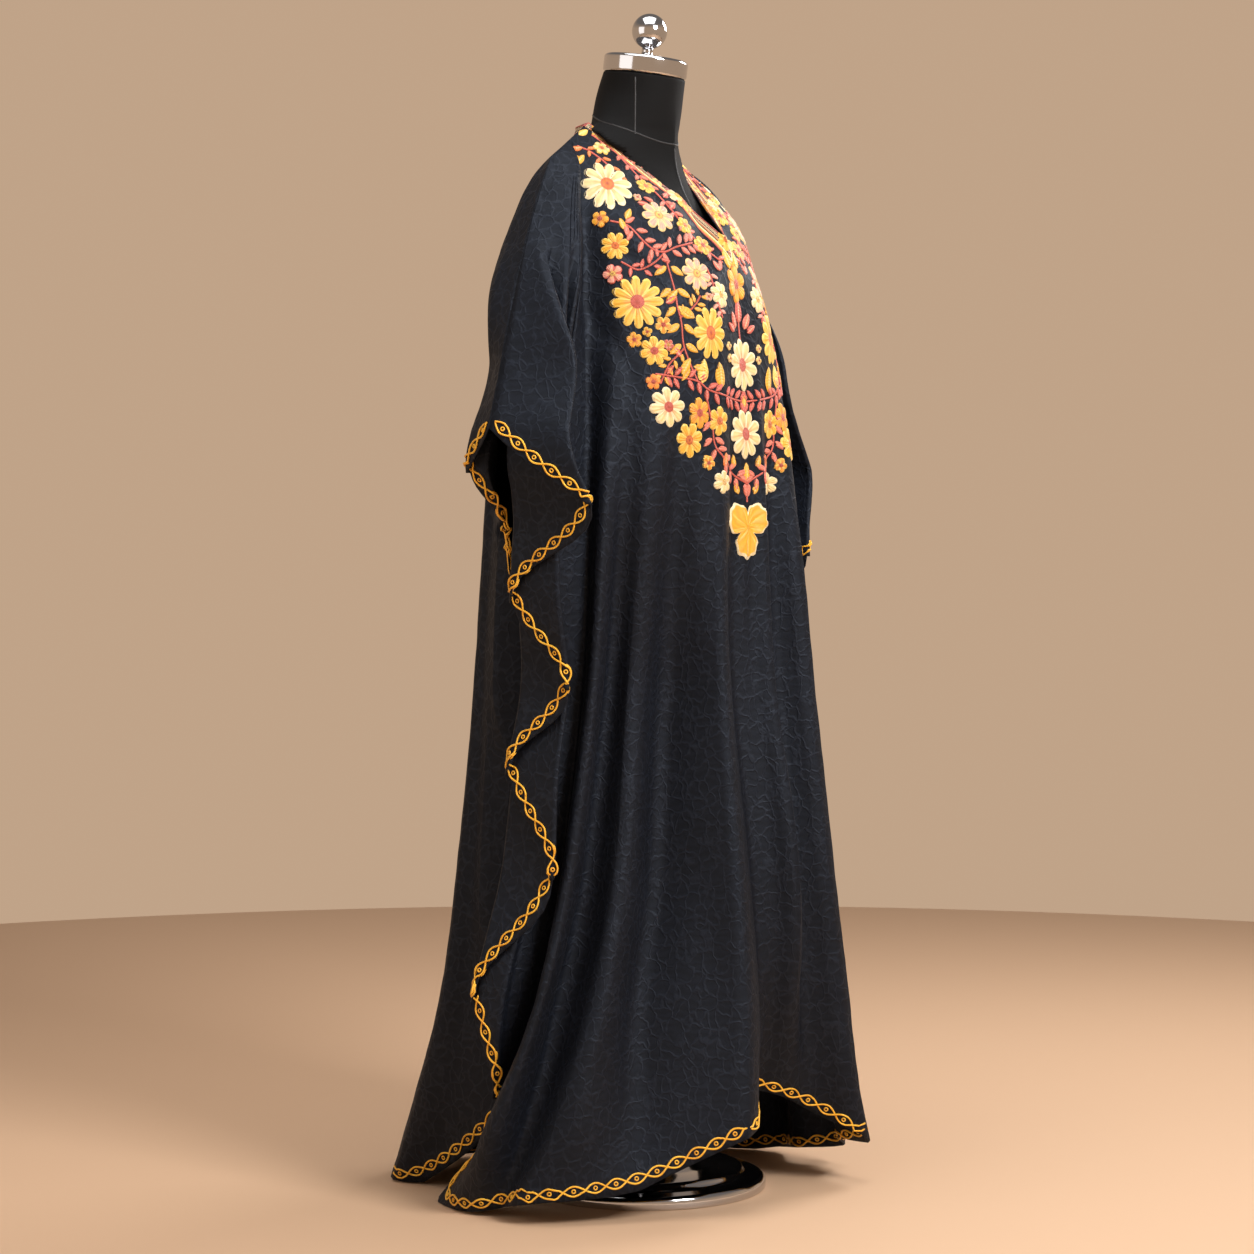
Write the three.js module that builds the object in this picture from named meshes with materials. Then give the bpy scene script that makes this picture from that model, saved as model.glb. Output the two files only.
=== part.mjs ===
// A wide rectangular kaftan worn by a limbless dress form.
// Millimetres, +Z up. The origin is on the floor at the middle of the base, and the front faces -Y.
// Places are written as [right, front, up]: toward the wearer's right, toward the front, and the height.
import * as THREE from 'three';

// Driving sizes
const clothThickness = 2;
const seamGap = 0.3;
const seatGap = 0.3;
const shoulderSeat = 5;
const foldWidth = 8;
const neckBandDrop = 21;
const neckBandThickness = 1.6;
const neckBandEnd = 0.11;
const rowCount = 19;

// How the cloth leaves the shoulder: it falls this far before it follows its column, bulges out over
// the arm's place, and from the pleat line down it is gathered into the side folds
const shoulderFall = 75;
const sleeveBulge = { top: 28, more: 20, from: 1400, over: 200 };
const pleatStart = { up: 1330, over: 200 };
const sideTaper = 170;
const edgeTaper = 260;

// The shoulder: neck point, shoulder tip, and the folded top edge that falls from the tip to the cuff
const neckPoint = [85, -40, 1490];
const frontNeckPoint = [0, 134, 1325];
const backNeckPoint = [0, -93, 1484];
const shoulderTip = [190, -30, 1430];
const sleeveLines = {
  right: [[190, -30, 1430], [250, -22, 1330], [310, -12, 1200], [360, -10, 1055]],
  left: [[190, -30, 1430], [250, -22, 1328], [308, -12, 1185], [352, -10, 1015]],
};

// Side folds of the front, from the cuff inward: its place 1150 up, and where it ends at the side edge
const upperLevel = 1150;
const frontSideFolds = {
  right: [
    { fold: 'first', tip: 1, upper: [290, 80], edge: [310, 120, 954] },
    { fold: 'second', tip: -1, upper: [279, -4], edge: [290, -26, 825] },
    { fold: 'third', tip: 1, upper: [268, 48], edge: [262, 50, 709] },
    { fold: 'fourth', tip: -1, upper: [258, -4], edge: [272, -45, 594] },
    { fold: 'fifth', tip: 1, upper: [248, 40], edge: [270, 30, 457] },
    { fold: 'sixth', tip: -1, upper: [238, -4], edge: [300, -84, 290] },
    { fold: 'seventh', tip: 1, upper: [228, 34], edge: [285, -52, 160] },
  ],
  left: [
    { fold: 'first', tip: 1, upper: [286, 66], edge: [300, 96, 886] },
    { fold: 'second', tip: -1, upper: [276, -4], edge: [284, -26, 772] },
    { fold: 'third', tip: 1, upper: [266, 46], edge: [262, 48, 655] },
    { fold: 'fourth', tip: -1, upper: [256, -4], edge: [270, -40, 540] },
    { fold: 'fifth', tip: 1, upper: [247, 38], edge: [268, 30, 410] },
    { fold: 'sixth', tip: -1, upper: [238, -4], edge: [292, -66, 262] },
    { fold: 'seventh', tip: 1, upper: [229, 32], edge: [286, -30, 140] },
  ],
};

// Side folds of the back: a backward fold and a forward one, then the free edge falls inside
const backSideFolds = {
  right: [
    { fold: 'outer', tip: -1, upper: [300, -52], edge: [330, -70, 998] },
    { fold: 'inner', tip: 1, upper: [268, -32], edge: [266, -46, 922] },
  ],
  left: [
    { fold: 'outer', tip: -1, upper: [298, -50], edge: [324, -68, 956] },
    { fold: 'inner', tip: 1, upper: [267, -32], edge: [264, -46, 872] },
  ],
};

// Folds of the body, each from its start on the shoulder (0 neck, 1 tip) or neckline (0 neck, 1 middle)
// down to its foot on the hem, with its [right, front] at each level
const levels = [1360, 1280, 1200, 1000, 720, 450, 280, 130];
const frontFolds = [
  { fold: 'right side valley', shoulder: 0.42, foot: [235, -185, 4],
    at: [[182, 12], [188, 22], [195, 30], [203, 40], [200, 30], [215, 5], [225, -8], [238, -72]] },
  { fold: 'right side ridge', shoulder: 0.2, foot: [288, -95, 4],
    at: [[165, 40], [172, 58], [181, 66], [208, 70], [217, 57], [255, 38], [300, 20], [328, -28]] },
  { fold: 'right band edge', shoulder: 0.11, foot: [287, -72, 8],
    at: [[156, 50], [164, 69], [174, 78], [197, 80], [194, 57], [229, 42], [271, 22], [302, -15]] },
  { fold: 'right side trough', shoulder: 0, foot: [282, -46, 14],
    at: [[146, 60], [156, 79], [165, 88], [184, 88], [168, 54], [200, 39], [238, 18], [272, -8]] },
  { fold: 'right ridge', neck: 0.26, foot: [310, 2, 28],
    at: [[105, 84], [125, 106], [143, 112], [163, 113], [170, 87], [210, 92], [250, 87], [290, 57]] },
  { fold: 'right trough', neck: 0.5, foot: [208, 128, 44],
    at: [[62, 97], [86, 127], [113, 134], [118, 134], [98, 101], [125, 98], [165, 96], [189, 114]] },
  { fold: 'near ridge', neck: 0.74, foot: [110, 237, 109],
    at: [[21, 91], [46, 143], [66, 160], [64, 165], [71, 172], [85, 205], [94, 224], [106, 235]] },
  { fold: 'near trough', neck: 0.9, foot: [24, 196, 128],
    at: [[10, 110], [20, 146], [28, 158], [26, 164], [24, 164], [20, 192], [14, 200], [14, 196]] },
  { fold: 'middle', neck: 1, foot: [-38, 152, 143],
    at: [[0, 120], [0, 145], [0, 154], [0, 166], [-2, 172], [-4, 200], [-12, 196], [-30, 160]] },
  { fold: 'middle ridge', neck: -0.9, foot: [-76, 176, 132],
    at: [[-10, 110], [-21, 146], [-29, 158], [-30, 171], [-28, 190], [-28, 230], [-38, 222], [-60, 190]] },
  { fold: 'far trough', neck: -0.76, foot: [-118, 206, 104],
    at: [[-20, 93], [-45, 143], [-62, 160], [-62, 166], [-62, 178], [-66, 204], [-78, 206], [-100, 206]] },
  { fold: 'far ridge', neck: -0.56, foot: [-173, 266, 63],
    at: [[-54, 98], [-84, 128], [-106, 143], [-100, 182], [-104, 212],
      [-114, 241], [-130, 255], [-152, 262]] },
  { fold: 'left trough', neck: -0.3, foot: [-215, 192, 50],
    at: [[-100, 86], [-122, 108], [-140, 116], [-136, 146], [-126, 150],
      [-140, 164], [-152, 174], [-184, 184]] },
  { fold: 'left ridge', shoulder: 0, foot: [-266, 170, 30],
    at: [[-146, 60], [-156, 79], [-166, 90], [-168, 128], [-188, 140],
      [-214, 163], [-234, 177], [-252, 177]] },
  { fold: 'left side trough', shoulder: 0.11, foot: [-262, 96, 20],
    at: [[-160, 46], [-168, 64], [-178, 74], [-184, 94], [-180, 90], [-198, 95], [-214, 95], [-236, 95]] },
  { fold: 'left side ridge', shoulder: 0.3, foot: [-304, 40, 8],
    at: [[-172, 28], [-180, 44], [-188, 52], [-210, 70], [-224, 70], [-254, 68], [-280, 66], [-298, 54]] },
  { fold: 'left side valley', shoulder: 0.44, foot: [-250, -96, 4],
    at: [[-182, 12], [-188, 22], [-195, 30], [-204, 40], [-202, 30], [-212, 6], [-222, -6], [-236, -46]] },
];
const backFolds = [
  { fold: 'left corner', shoulder: 0.62, foot: [-190, -226, 4],
    at: [[-186, -64], [-200, -82], [-208, -96], [-212, -106], [-213, -124],
      [-212, -142], [-206, -158], [-198, -190]] },
  { fold: 'left ridge', shoulder: 0.5, foot: [-172, -300, 4],
    at: [[-176, -76], [-190, -98], [-198, -112], [-203, -128], [-206, -148],
      [-210, -174], [-206, -204], [-192, -250]] },
  { fold: 'left trough', shoulder: 0.11, foot: [-120, -282, 6],
    at: [[-126, -96], [-142, -112], [-150, -122], [-150, -124], [-148, -128],
      [-148, -146], [-146, -174], [-134, -226]] },
  { fold: 'left neck corner', shoulder: 0, foot: [-106, -316, 4],
    at: [[-100, -104], [-116, -120], [-124, -131], [-128, -138], [-128, -152],
      [-130, -176], [-128, -208], [-118, -260]] },
  { fold: 'left back ridge', neck: -0.3, foot: [-86, -352, 4],
    at: [[-76, -110], [-90, -126], [-98, -138], [-102, -152], [-108, -180],
      [-112, -212], [-108, -246], [-98, -300]] },
  { fold: 'left back trough', neck: -0.66, foot: [-38, -296, 10],
    at: [[-34, -112], [-42, -126], [-48, -134], [-50, -142], [-52, -156],
      [-52, -178], [-50, -206], [-44, -252]] },
  { fold: 'middle back ridge', neck: 1, foot: [0, -340, 4],
    at: [[0, -112], [0, -128], [0, -140], [0, -156], [2, -190], [2, -222], [2, -252], [0, -298]] },
  { fold: 'right back trough', neck: 0.66, foot: [42, -312, 8],
    at: [[34, -112], [42, -126], [48, -134], [50, -140], [54, -152], [56, -176], [54, -204], [48, -258]] },
  { fold: 'right back ridge', neck: 0.3, foot: [88, -362, 4],
    at: [[76, -110], [90, -126], [99, -138], [106, -150], [114, -178],
      [122, -210], [122, -244], [106, -306]] },
  { fold: 'right neck corner', shoulder: 0, foot: [110, -324, 4],
    at: [[100, -104], [116, -120], [125, -131], [130, -137], [132, -150],
      [138, -176], [138, -206], [124, -264]] },
  { fold: 'right trough', shoulder: 0.11, foot: [128, -290, 6],
    at: [[126, -96], [142, -112], [150, -122], [152, -122], [150, -126],
      [152, -146], [152, -170], [142, -224]] },
  { fold: 'right ridge', shoulder: 0.5, foot: [166, -322, 4],
    at: [[176, -76], [190, -98], [198, -112], [203, -126], [206, -146],
      [212, -172], [212, -200], [196, -256]] },
  { fold: 'right corner', shoulder: 0.62, foot: [168, -262, 4],
    at: [[186, -64], [200, -82], [208, -96], [212, -106], [213, -124],
      [212, -142], [206, -160], [196, -196]] },
];

// Columns of the back between its inner side fold and its corner, which end on the free side edge
const backEdgeColumns = {
  right: [{ part: 0.34, edge: [198, -26, 700] }, { part: 0.6, edge: [193, -22, 450] },
    { part: 0.82, edge: [196, -64, 160] }],
  left: [{ part: 0.34, edge: [198, -26, 670] }, { part: 0.6, edge: [192, -22, 430] },
    { part: 0.82, edge: [198, -60, 160] }],
};

// The dress form, as rings: half width, the middle line, and its reach to the front and the back,
// each half of a ring rounder (2 and more) or more hollow (under 1)
const torsoRings = [
  { up: 772, half: 128, middle: 0, front: 84, back: -84, frontPower: 2.3, backPower: 2.3 },
  { up: 784, half: 146, middle: 0, front: 96, back: -96, frontPower: 2.3, backPower: 2.3 },
  { up: 880, half: 152, middle: 0, front: 100, back: -100, frontPower: 2.3, backPower: 2.3 },
  { up: 1010, half: 126, middle: 0, front: 92, back: -82, frontPower: 2.3, backPower: 2.3 },
  { up: 1110, half: 142, middle: 0, front: 112, back: -90, frontPower: 2.3, backPower: 2.3 },
  { up: 1200, half: 158, middle: 0, front: 124, back: -94, frontPower: 2.2, backPower: 2.3 },
  { up: 1290, half: 164, middle: -10, front: 116, back: -96, frontPower: 2.2, backPower: 2.3 },
  { up: 1325, half: 168, middle: -18, front: 104, back: -95, frontPower: 2, backPower: 2.3 },
  { up: 1360, half: 174, middle: -24, front: 84, back: -94, frontPower: 1.7, backPower: 2.2 },
  { up: 1400, half: 172, middle: -28, front: 60, back: -88, frontPower: 1.2, backPower: 1.6 },
  { up: 1430, half: 174, middle: -31, front: 46, back: -85, frontPower: 0.8, backPower: 1.2 },
  { up: 1455, half: 142, middle: -34, front: 44, back: -82, frontPower: 0.74, backPower: 1.2 },
  { up: 1478, half: 92, middle: -36, front: 46, back: -81, frontPower: 0.74, backPower: 1.1 },
  { up: 1489, half: 70, middle: -34, front: 49, back: -82, frontPower: 1, backPower: 1.6 },
  { up: 1500, half: 67, middle: -18, front: 51, back: -80, frontPower: 2, backPower: 2 },
  { up: 1530, half: 58, middle: -10, front: 53, back: -72, frontPower: 2, backPower: 2 },
  { up: 1562.7, half: 58, middle: -1, front: 57, back: -59, frontPower: 2, backPower: 2 },
];
const torsoSides = 40;
const neckCap = { radius: 59.5, height: 26, edge: 4, center: [0, -1, 1563], tilt: 8 };
const finial = { stemRadius: 8, stemHeight: 13, ballRadius: 25, sides: 24 };
const base = [
  [0, 0], [170, 0], [170, 12], [166, 18], [140, 21], [136, 30], [96, 34], [52, 44], [32, 62], [26, 84], [0, 84],
];
const baseSides = 64;
const poleRadius = 16;
const poleSides = 20;

const clothMaterial = () => new THREE.MeshStandardMaterial({ color: 0x1d2027, roughness: 0.62, metalness: 0 });
const formMaterial = () => new THREE.MeshStandardMaterial({ color: 0x0c0c0e, roughness: 0.8, metalness: 0 });
const braidMaterial = () => new THREE.MeshStandardMaterial({ color: 0xb98a4a, roughness: 0.55, metalness: 0.3 });
const chromeMaterial = () => new THREE.MeshStandardMaterial({ color: 0xc9ccd0, roughness: 0.12, metalness: 1 });

// Small helpers
const mix = (a, b, part) => a.map((value, k) => value + (b[k] - value) * part);
const ease = (t) => {
  const s = Math.min(1, Math.max(0, t));
  return s * s * (3 - 2 * s);
};
const toVector = ([right, front, up]) => new THREE.Vector3(-right, -front, up);

// A smooth curve down through rows of [right, front, up], read at a height
function trace(rows, up) {
  const slope = (a, b) => [0, 1].map((k) => (b[k] - a[k]) / (b[2] - a[2]));
  let i = 0;
  while (i < rows.length - 2 && up < rows[i + 1][2]) i += 1;
  const [a, b] = [rows[i], rows[i + 1]];
  const span = b[2] - a[2];
  const t = Math.min(1, Math.max(0, (up - a[2]) / span));
  const ta = i > 0 ? slope(rows[i - 1], b) : slope(a, b);
  const tb = i + 2 < rows.length ? slope(a, rows[i + 2]) : slope(a, b);
  const place = [0, 1].map((k) => (2 * t ** 3 - 3 * t ** 2 + 1) * a[k]
    + (t ** 3 - 2 * t ** 2 + t) * span * ta[k]
    + (3 * t ** 2 - 2 * t ** 3) * b[k] + (t ** 3 - t ** 2) * span * tb[k]);
  return [place[0], place[1], up];
}

const mirror = ([right, front, ...rest], side) => [right * side, front, ...rest];

// A column of a panel: where it starts, where it ends, and its place at any height between
function bodyColumn(row, isFront) {
  const side = row.foot[0] === 0 && row.neck === 1 ? 1 : Math.sign(row.shoulder !== undefined
    ? row.foot[0] : row.neck);
  const start = row.shoulder !== undefined
    ? mirror(mix(neckPoint, shoulderTip, row.shoulder), side)
    : mirror(neckline(Math.abs(row.neck), isFront), side);
  const rows = levels.map((up, k) => [...row.at[k], up])
    .filter((place) => place[2] < start[2] - 30 && place[2] > row.foot[2] + 40);
  const path = [start, ...rows, row.foot];
  return { start, end: row.foot, onSeam: row.shoulder !== undefined, onNeck: row.shoulder === undefined
    || row.shoulder <= neckBandEnd, at: (up) => trace(path, up) };
}

function neckline(part, isFront) {
  if (isFront) return mix(neckPoint, frontNeckPoint, part);
  const turn = part * Math.PI / 2;
  return [neckPoint[0] * Math.cos(turn), neckPoint[1] + (backNeckPoint[1] - neckPoint[1]) * Math.sin(turn),
    neckPoint[2] + (backNeckPoint[2] - neckPoint[2]) * Math.sin(turn)];
}

// Columns of one side wing, from the sleeve line inward to the body
function wingColumns(side, folds, sleeveLine, body, isFront) {
  const forward = isFront ? 1 : -1;
  const line = sleeveLine.map((place) => mirror(place, side));
  const sleeve = (up) => trace(line, up);
  const edges = [[line[3][0] * side, line[3][1], line[3][2]], ...folds.map((row) => row.edge)];
  const columns = [{ start: line[0], end: line[3], onSeam: true, isSleeveLine: true, at: sleeve }];
  const envelope = (up) => trace(edges, up)[0];
  const indexAt = (up) => {
    const k = Math.max(0, edges.findIndex((edge) => up > edge[2]) - 1);
    if (up <= edges[edges.length - 1][2]) return edges.length - 1;
    return up >= edges[0][2] ? 0 : k + (edges[k][2] - up) / (edges[k][2] - edges[k + 1][2]);
  };
  folds.forEach((row, k) => {
    const number = k + 1;
    const share = number / (folds.length + 1);
    for (const turn of [1, 0, -1]) {
      const part = share - turn * 0.25 / (folds.length + 1);
      const start = mix(line[0], body.start, part);
      const pleat = (up) => {
        const low = [envelope(up) - (foldWidth + 1) * (number - indexAt(up)), 0];
        const down = Math.min(1, Math.max(0, (upperLevel - up) / (upperLevel - row.edge[2])));
        const reach = row.upper[1] + (row.edge[1] - row.upper[1]) * down ** 1.5;
        const out = mix(row.upper, low, ease((upperLevel - up) / sideTaper))[0];
        const back = turn === 0 ? 0 : foldWidth / 2;
        return [(out + turn * foldWidth / 2) * side, reach - row.tip * back];
      };
      columns.push({ start, end: [...pleat(row.edge[2]), row.edge[2]], onSeam: true, turn: row, at: (up) => {
        const outer = sleeve(up);
        const inner = body.at(up);
        const swell = sleeveBulge.top + sleeveBulge.more * ease((sleeveBulge.from - up) / sleeveBulge.over);
        const bulge = forward * swell * Math.sin(Math.PI * part);
        const plain = [outer[0] + (inner[0] - outer[0]) * part, outer[1] + (inner[1] - outer[1]) * part + bulge];
        const folded = mix(plain, pleat(up), ease((pleatStart.up - up) / pleatStart.over));
        const fall = Math.min(1, Math.max(0, (start[2] - up) / shoulderFall));
        return [...mix(start.slice(0, 2), folded, 1 - (1 - fall) ** 4), up];
      } });
    }
  });
  return columns;
}

// Columns of the back between its inner side fold and its corner
function edgeColumns(side, rows, inner, corner) {
  return rows.map((row) => {
    const end = mirror(row.edge, side);
    const start = mix(inner.start, corner.start, row.part);
    const between = (up) => mix(inner.at(Math.max(up, inner.end[2])), corner.at(up), row.part);
    return { start, end, onSeam: true, at: (up) => {
      const near = ease((end[2] + edgeTaper - up) / edgeTaper);
      return [...mix(between(up).slice(0, 2), end.slice(0, 2), near), up];
    } };
  });
}

function frontColumns() {
  const body = frontFolds.map((row) => bodyColumn(row, true));
  const right = wingColumns(1, frontSideFolds.right, sleeveLines.right, body[0], true);
  const left = wingColumns(-1, frontSideFolds.left, sleeveLines.left, body[body.length - 1], true);
  return [...right, ...body, ...left.reverse()];
}

function backColumns() {
  const body = backFolds.map((row) => bodyColumn(row, false));
  const wing = (side, name, corner) => {
    const columns = wingColumns(side, backSideFolds[name], sleeveLines[name], corner, false);
    const inner = columns[columns.length - 1];
    return [...columns, ...edgeColumns(side, backEdgeColumns[name], inner, corner)];
  };
  return [...wing(-1, 'left', body[0]), ...body, ...wing(1, 'right', body[body.length - 1]).reverse()];
}

// A panel as rows of points: each column is read at the same parts of its own length, and each
// stretch between two columns gets one more point on a smooth curve through its neighbours
function panelRows(columns, isFront, gap) {
  const rows = [];
  for (let j = 0; j <= rowCount; j += 1) {
    const part = Math.max(0, j - 1) / (rowCount - 1);
    const down = 0.8 * part + 0.2 * part * part;
    const knots = columns.map((column) => {
      const fall = column.start[2] - column.end[2];
      const up = column.start[2] - (j === 1 ? neckBandDrop * Math.min(1, fall / 1200) : down * fall);
      const place = j === 0 ? [...column.start] : column.at(up);
      const joined = column.isSleeveLine || (j === 0 && column.onSeam);
      if (joined) place[1] += (isFront ? 0.5 : -0.5) * gap;
      return { place, joined };
    });
    const row = [];
    knots.forEach((knot, i) => {
      row.push({ place: toVector(knot.place), joined: knot.joined, column: columns[i] });
      if (i === knots.length - 1) return;
      const [a, b, c] = [knots[Math.max(0, i - 1)], knot, knots[i + 1]];
      const d = knots[Math.min(knots.length - 1, i + 2)];
      if (columns[i].turn && columns[i].turn === columns[i + 1].turn) return;
      const straight = j === 0 || Math.abs(columns[i].end[2] - columns[i + 1].end[2]) > 60;
      const middle = b.place.map((value, k) => (straight ? (value + c.place[k]) / 2
        : (9 * (value + c.place[k]) - a.place[k] - d.place[k]) / 16));
      row.push({ place: toVector(middle), joined: j === 0 && b.joined && c.joined, column: null });
    });
    rows.push(row);
  }
  return rows;
}

// The direction out of the cloth at each point; on a seam it lies in the plane that both panels share
function normalAt(rows, j, i) {
  const [r0, r1] = [rows[Math.max(0, j - 1)], rows[Math.min(rows.length - 1, j + 1)]];
  const row = rows[j];
  const along = row[Math.min(row.length - 1, i + 1)].place.clone().sub(row[Math.max(0, i - 1)].place);
  const down = r1[i].place.clone().sub(r0[i].place);
  if (!row[i].joined) return down.cross(along).normalize();
  const seam = new THREE.Vector3();
  const onSeam = (k) => (row[k] && row[k].joined ? row[k].place : row[i].place);
  if (j === 0) seam.add(onSeam(i + 1).clone().sub(onSeam(i - 1)).normalize());
  if (i === 0) seam.sub(down.normalize());
  if (i === row.length - 1) seam.add(down.normalize());
  return new THREE.Vector3(-seam.z, 0, seam.x).multiplyScalar(Math.sign(seam.x)).normalize();
}

// A closed wall between two copies of a grid of points
function wallGeometry(outer, inner) {
  const [height, width] = [outer.length, outer[0].length];
  const points = [...outer.flat(), ...inner.flat()];
  const count = height * width;
  const index = [];
  const quad = (a, b, c, d) => index.push(a, b, c, a, c, d);
  for (let j = 0; j + 1 < height; j += 1) {
    for (let i = 0; i + 1 < width; i += 1) {
      const [a, b, c, d] = [j * width + i, (j + 1) * width + i, (j + 1) * width + i + 1, j * width + i + 1];
      quad(a, b, c, d);
      quad(a + count, d + count, c + count, b + count);
    }
  }
  const rim = [];
  for (let i = 0; i < width; i += 1) rim.push(i);
  for (let j = 1; j < height; j += 1) rim.push(j * width + width - 1);
  for (let i = width - 2; i >= 0; i -= 1) rim.push((height - 1) * width + i);
  for (let j = height - 2; j > 0; j -= 1) rim.push(j * width);
  rim.forEach((a, k) => {
    const b = rim[(k + 1) % rim.length];
    quad(a, b, b + count, a + count);
  });
  return geometryFrom(points, index);
}

// The points of a panel, moved out of its middle surface, and kept above the floor
function movedOut(rows, amount, floor = clothThickness / 2 + amount) {
  return rows.map((row, j) => row.map((point, i) => {
    const place = point.place.clone().addScaledVector(normalAt(rows, j, i), amount);
    place.z = Math.max(place.z, floor);
    return place;
  }));
}

const panelGeometry = (rows) => wallGeometry(
  movedOut(rows, clothThickness / 2),
  movedOut(rows, -clothThickness / 2),
);

function geometryFrom(points, index) {
  const geometry = new THREE.BufferGeometry();
  geometry.setAttribute('position', new THREE.Float32BufferAttribute(points.flatMap((p) => p.toArray()), 3));
  geometry.setIndex(index);
  return geometry;
}

// The braid along the neckline of one panel: the points of its top strip, moved out
function neckBandGeometry(rows) {
  const onNeck = (point) => point.column && point.column.onNeck;
  const first = rows[0].findIndex(onNeck);
  const last = rows[0].length - [...rows[0]].reverse().findIndex(onNeck);
  const strip = (amount) => movedOut(rows, amount).slice(0, 2).map((row) => row.slice(first, last));
  const bottom = clothThickness / 2 + seamGap;
  return wallGeometry(strip(bottom + neckBandThickness), strip(bottom));
}

function insideCloth(middle, place, cloth) {
  const direction = place.clone().sub(middle);
  const reach = direction.length();
  const ray = new THREE.Raycaster(middle, direction.normalize(), 0, reach + 40);
  const hit = ray.intersectObjects(cloth)[0];
  return hit ? middle.clone().addScaledVector(direction, Math.min(reach, hit.distance - shoulderSeat)) : place;
}

// The torso as a closed stack of rings, its top ring tilted like the neck cap. Under the cloth a ring
// stops just inside it, so that the cloth rests on the shoulders.
function torsoGeometry(cloth) {
  const between = (a, b) => Object.fromEntries(Object.keys(a).map((key) => [key, (a[key] + b[key]) / 2]));
  const rings = torsoRings.flatMap((ring, r) => (ring.up >= 1360 && ring.up < 1478
    ? [ring, between(ring, torsoRings[r + 1])] : [ring]));
  const points = [];
  const index = [];
  const tilt = Math.tan(THREE.MathUtils.degToRad(neckCap.tilt));
  rings.forEach((ring, r) => {
    const leaning = r === rings.length - 1 ? tilt : 0;
    for (let k = 0; k < torsoSides; k += 1) {
      const angle = (k / torsoSides) * Math.PI * 2;
      const [c, s] = [Math.cos(angle), Math.sin(angle)];
      const power = s > 0 ? ring.frontPower : ring.backPower;
      const reach = s > 0 ? ring.front - ring.middle : ring.middle - ring.back;
      const forward = ring.middle + reach * Math.sign(s) * Math.abs(s) ** (2 / power);
      const across = ring.half * Math.sign(c) * Math.abs(c) ** (2 / power);
      const place = toVector([across, forward, ring.up - leaning * (forward - ring.middle)]);
      points.push(insideCloth(toVector([0, ring.middle, place.z]), place, cloth));
    }
  });
  const bottom = points.push(toVector([0, 0, rings[0].up])) - 1;
  const lastRing = rings[rings.length - 1];
  const top = points.push(toVector([0, lastRing.middle, lastRing.up])) - 1;
  for (let r = 0; r + 1 < rings.length; r += 1) {
    for (let k = 0; k < torsoSides; k += 1) {
      const next = (k + 1) % torsoSides;
      const [a, b, c, d] = [r * torsoSides + k, r * torsoSides + next, (r + 1) * torsoSides + next,
        (r + 1) * torsoSides + k];
      index.push(a, b, c, a, c, d);
    }
  }
  const last = (rings.length - 1) * torsoSides;
  for (let k = 0; k < torsoSides; k += 1) {
    const next = (k + 1) % torsoSides;
    index.push(bottom, next, k, top, last + k, last + next);
  }
  return geometryFrom(points, index);
}

function lathe(profile, sides) {
  return new THREE.LatheGeometry(profile.map(([r, y]) => new THREE.Vector2(r, y)), sides).rotateX(Math.PI / 2);
}

function neckCapGeometry() {
  const { radius, height, edge } = neckCap;
  return lathe([[0, 0], [radius - edge, 0], [radius, edge], [radius, height - edge], [radius - edge, height],
    [0, height]], 40);
}

function finialGeometry() {
  const { stemRadius, stemHeight, ballRadius, sides } = finial;
  const middle = stemHeight + Math.sqrt(ballRadius ** 2 - stemRadius ** 2);
  const first = Math.asin(stemRadius / ballRadius);
  const profile = [[0, 0], [stemRadius, 0]];
  const steps = 12;
  for (let k = 0; k < steps; k += 1) {
    const angle = first + ((Math.PI - first) * k) / steps;
    profile.push([ballRadius * Math.sin(angle), middle - ballRadius * Math.cos(angle)]);
  }
  profile.push([0, middle + ballRadius]);
  return lathe(profile, sides);
}

// The whole object
const kaftan = new THREE.Group();
const addMesh = (name, geometry, material, parent = kaftan) => {
  const mesh = new THREE.Mesh(geometry, material);
  mesh.name = name;
  parent.add(mesh);
  return mesh;
};

const front = panelRows(frontColumns(), true, seamGap);
const back = panelRows(backColumns(), false, seamGap);
addMesh('front_panel', panelGeometry(front), clothMaterial());
addMesh('back_panel', panelGeometry(back), clothMaterial());

addMesh('neck_band_front', neckBandGeometry(front), braidMaterial());
addMesh('neck_band_back', neckBandGeometry(back), braidMaterial());

// The torso stays inside the cloth, read with its two panels joined at the seams
const joined = [panelRows(frontColumns(), true, -1), panelRows(backColumns(), false, -1)];
const cloth = joined.map((rows) => new THREE.Mesh(panelGeometry(rows)));
addMesh('torso', torsoGeometry(cloth), formMaterial());

const neckTop = new THREE.Group();
neckTop.position.copy(toVector(neckCap.center));
neckTop.rotation.x = THREE.MathUtils.degToRad(neckCap.tilt);
kaftan.add(neckTop);
addMesh('neck_cap', neckCapGeometry(), chromeMaterial(), neckTop);
addMesh('finial', finialGeometry(), chromeMaterial(), neckTop).position.z = neckCap.height + seatGap;

const poleEnds = [base[base.length - 1][1] + seatGap, torsoRings[0].up - seatGap];
const poleLength = poleEnds[1] - poleEnds[0];
addMesh('pole', new THREE.CylinderGeometry(poleRadius, poleRadius, poleLength, poleSides)
  .rotateX(Math.PI / 2), chromeMaterial()).position.z = (poleEnds[0] + poleEnds[1]) / 2;
addMesh('base', lathe(base, baseSides), chromeMaterial());

export default kaftan;
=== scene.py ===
# A wide kaftan with an embroidered yoke and gold chain trim, on a limbless dress form.
import math

import bpy
from mathutils import Matrix, Vector, noise
from mathutils.bvhtree import BVHTree


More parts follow.
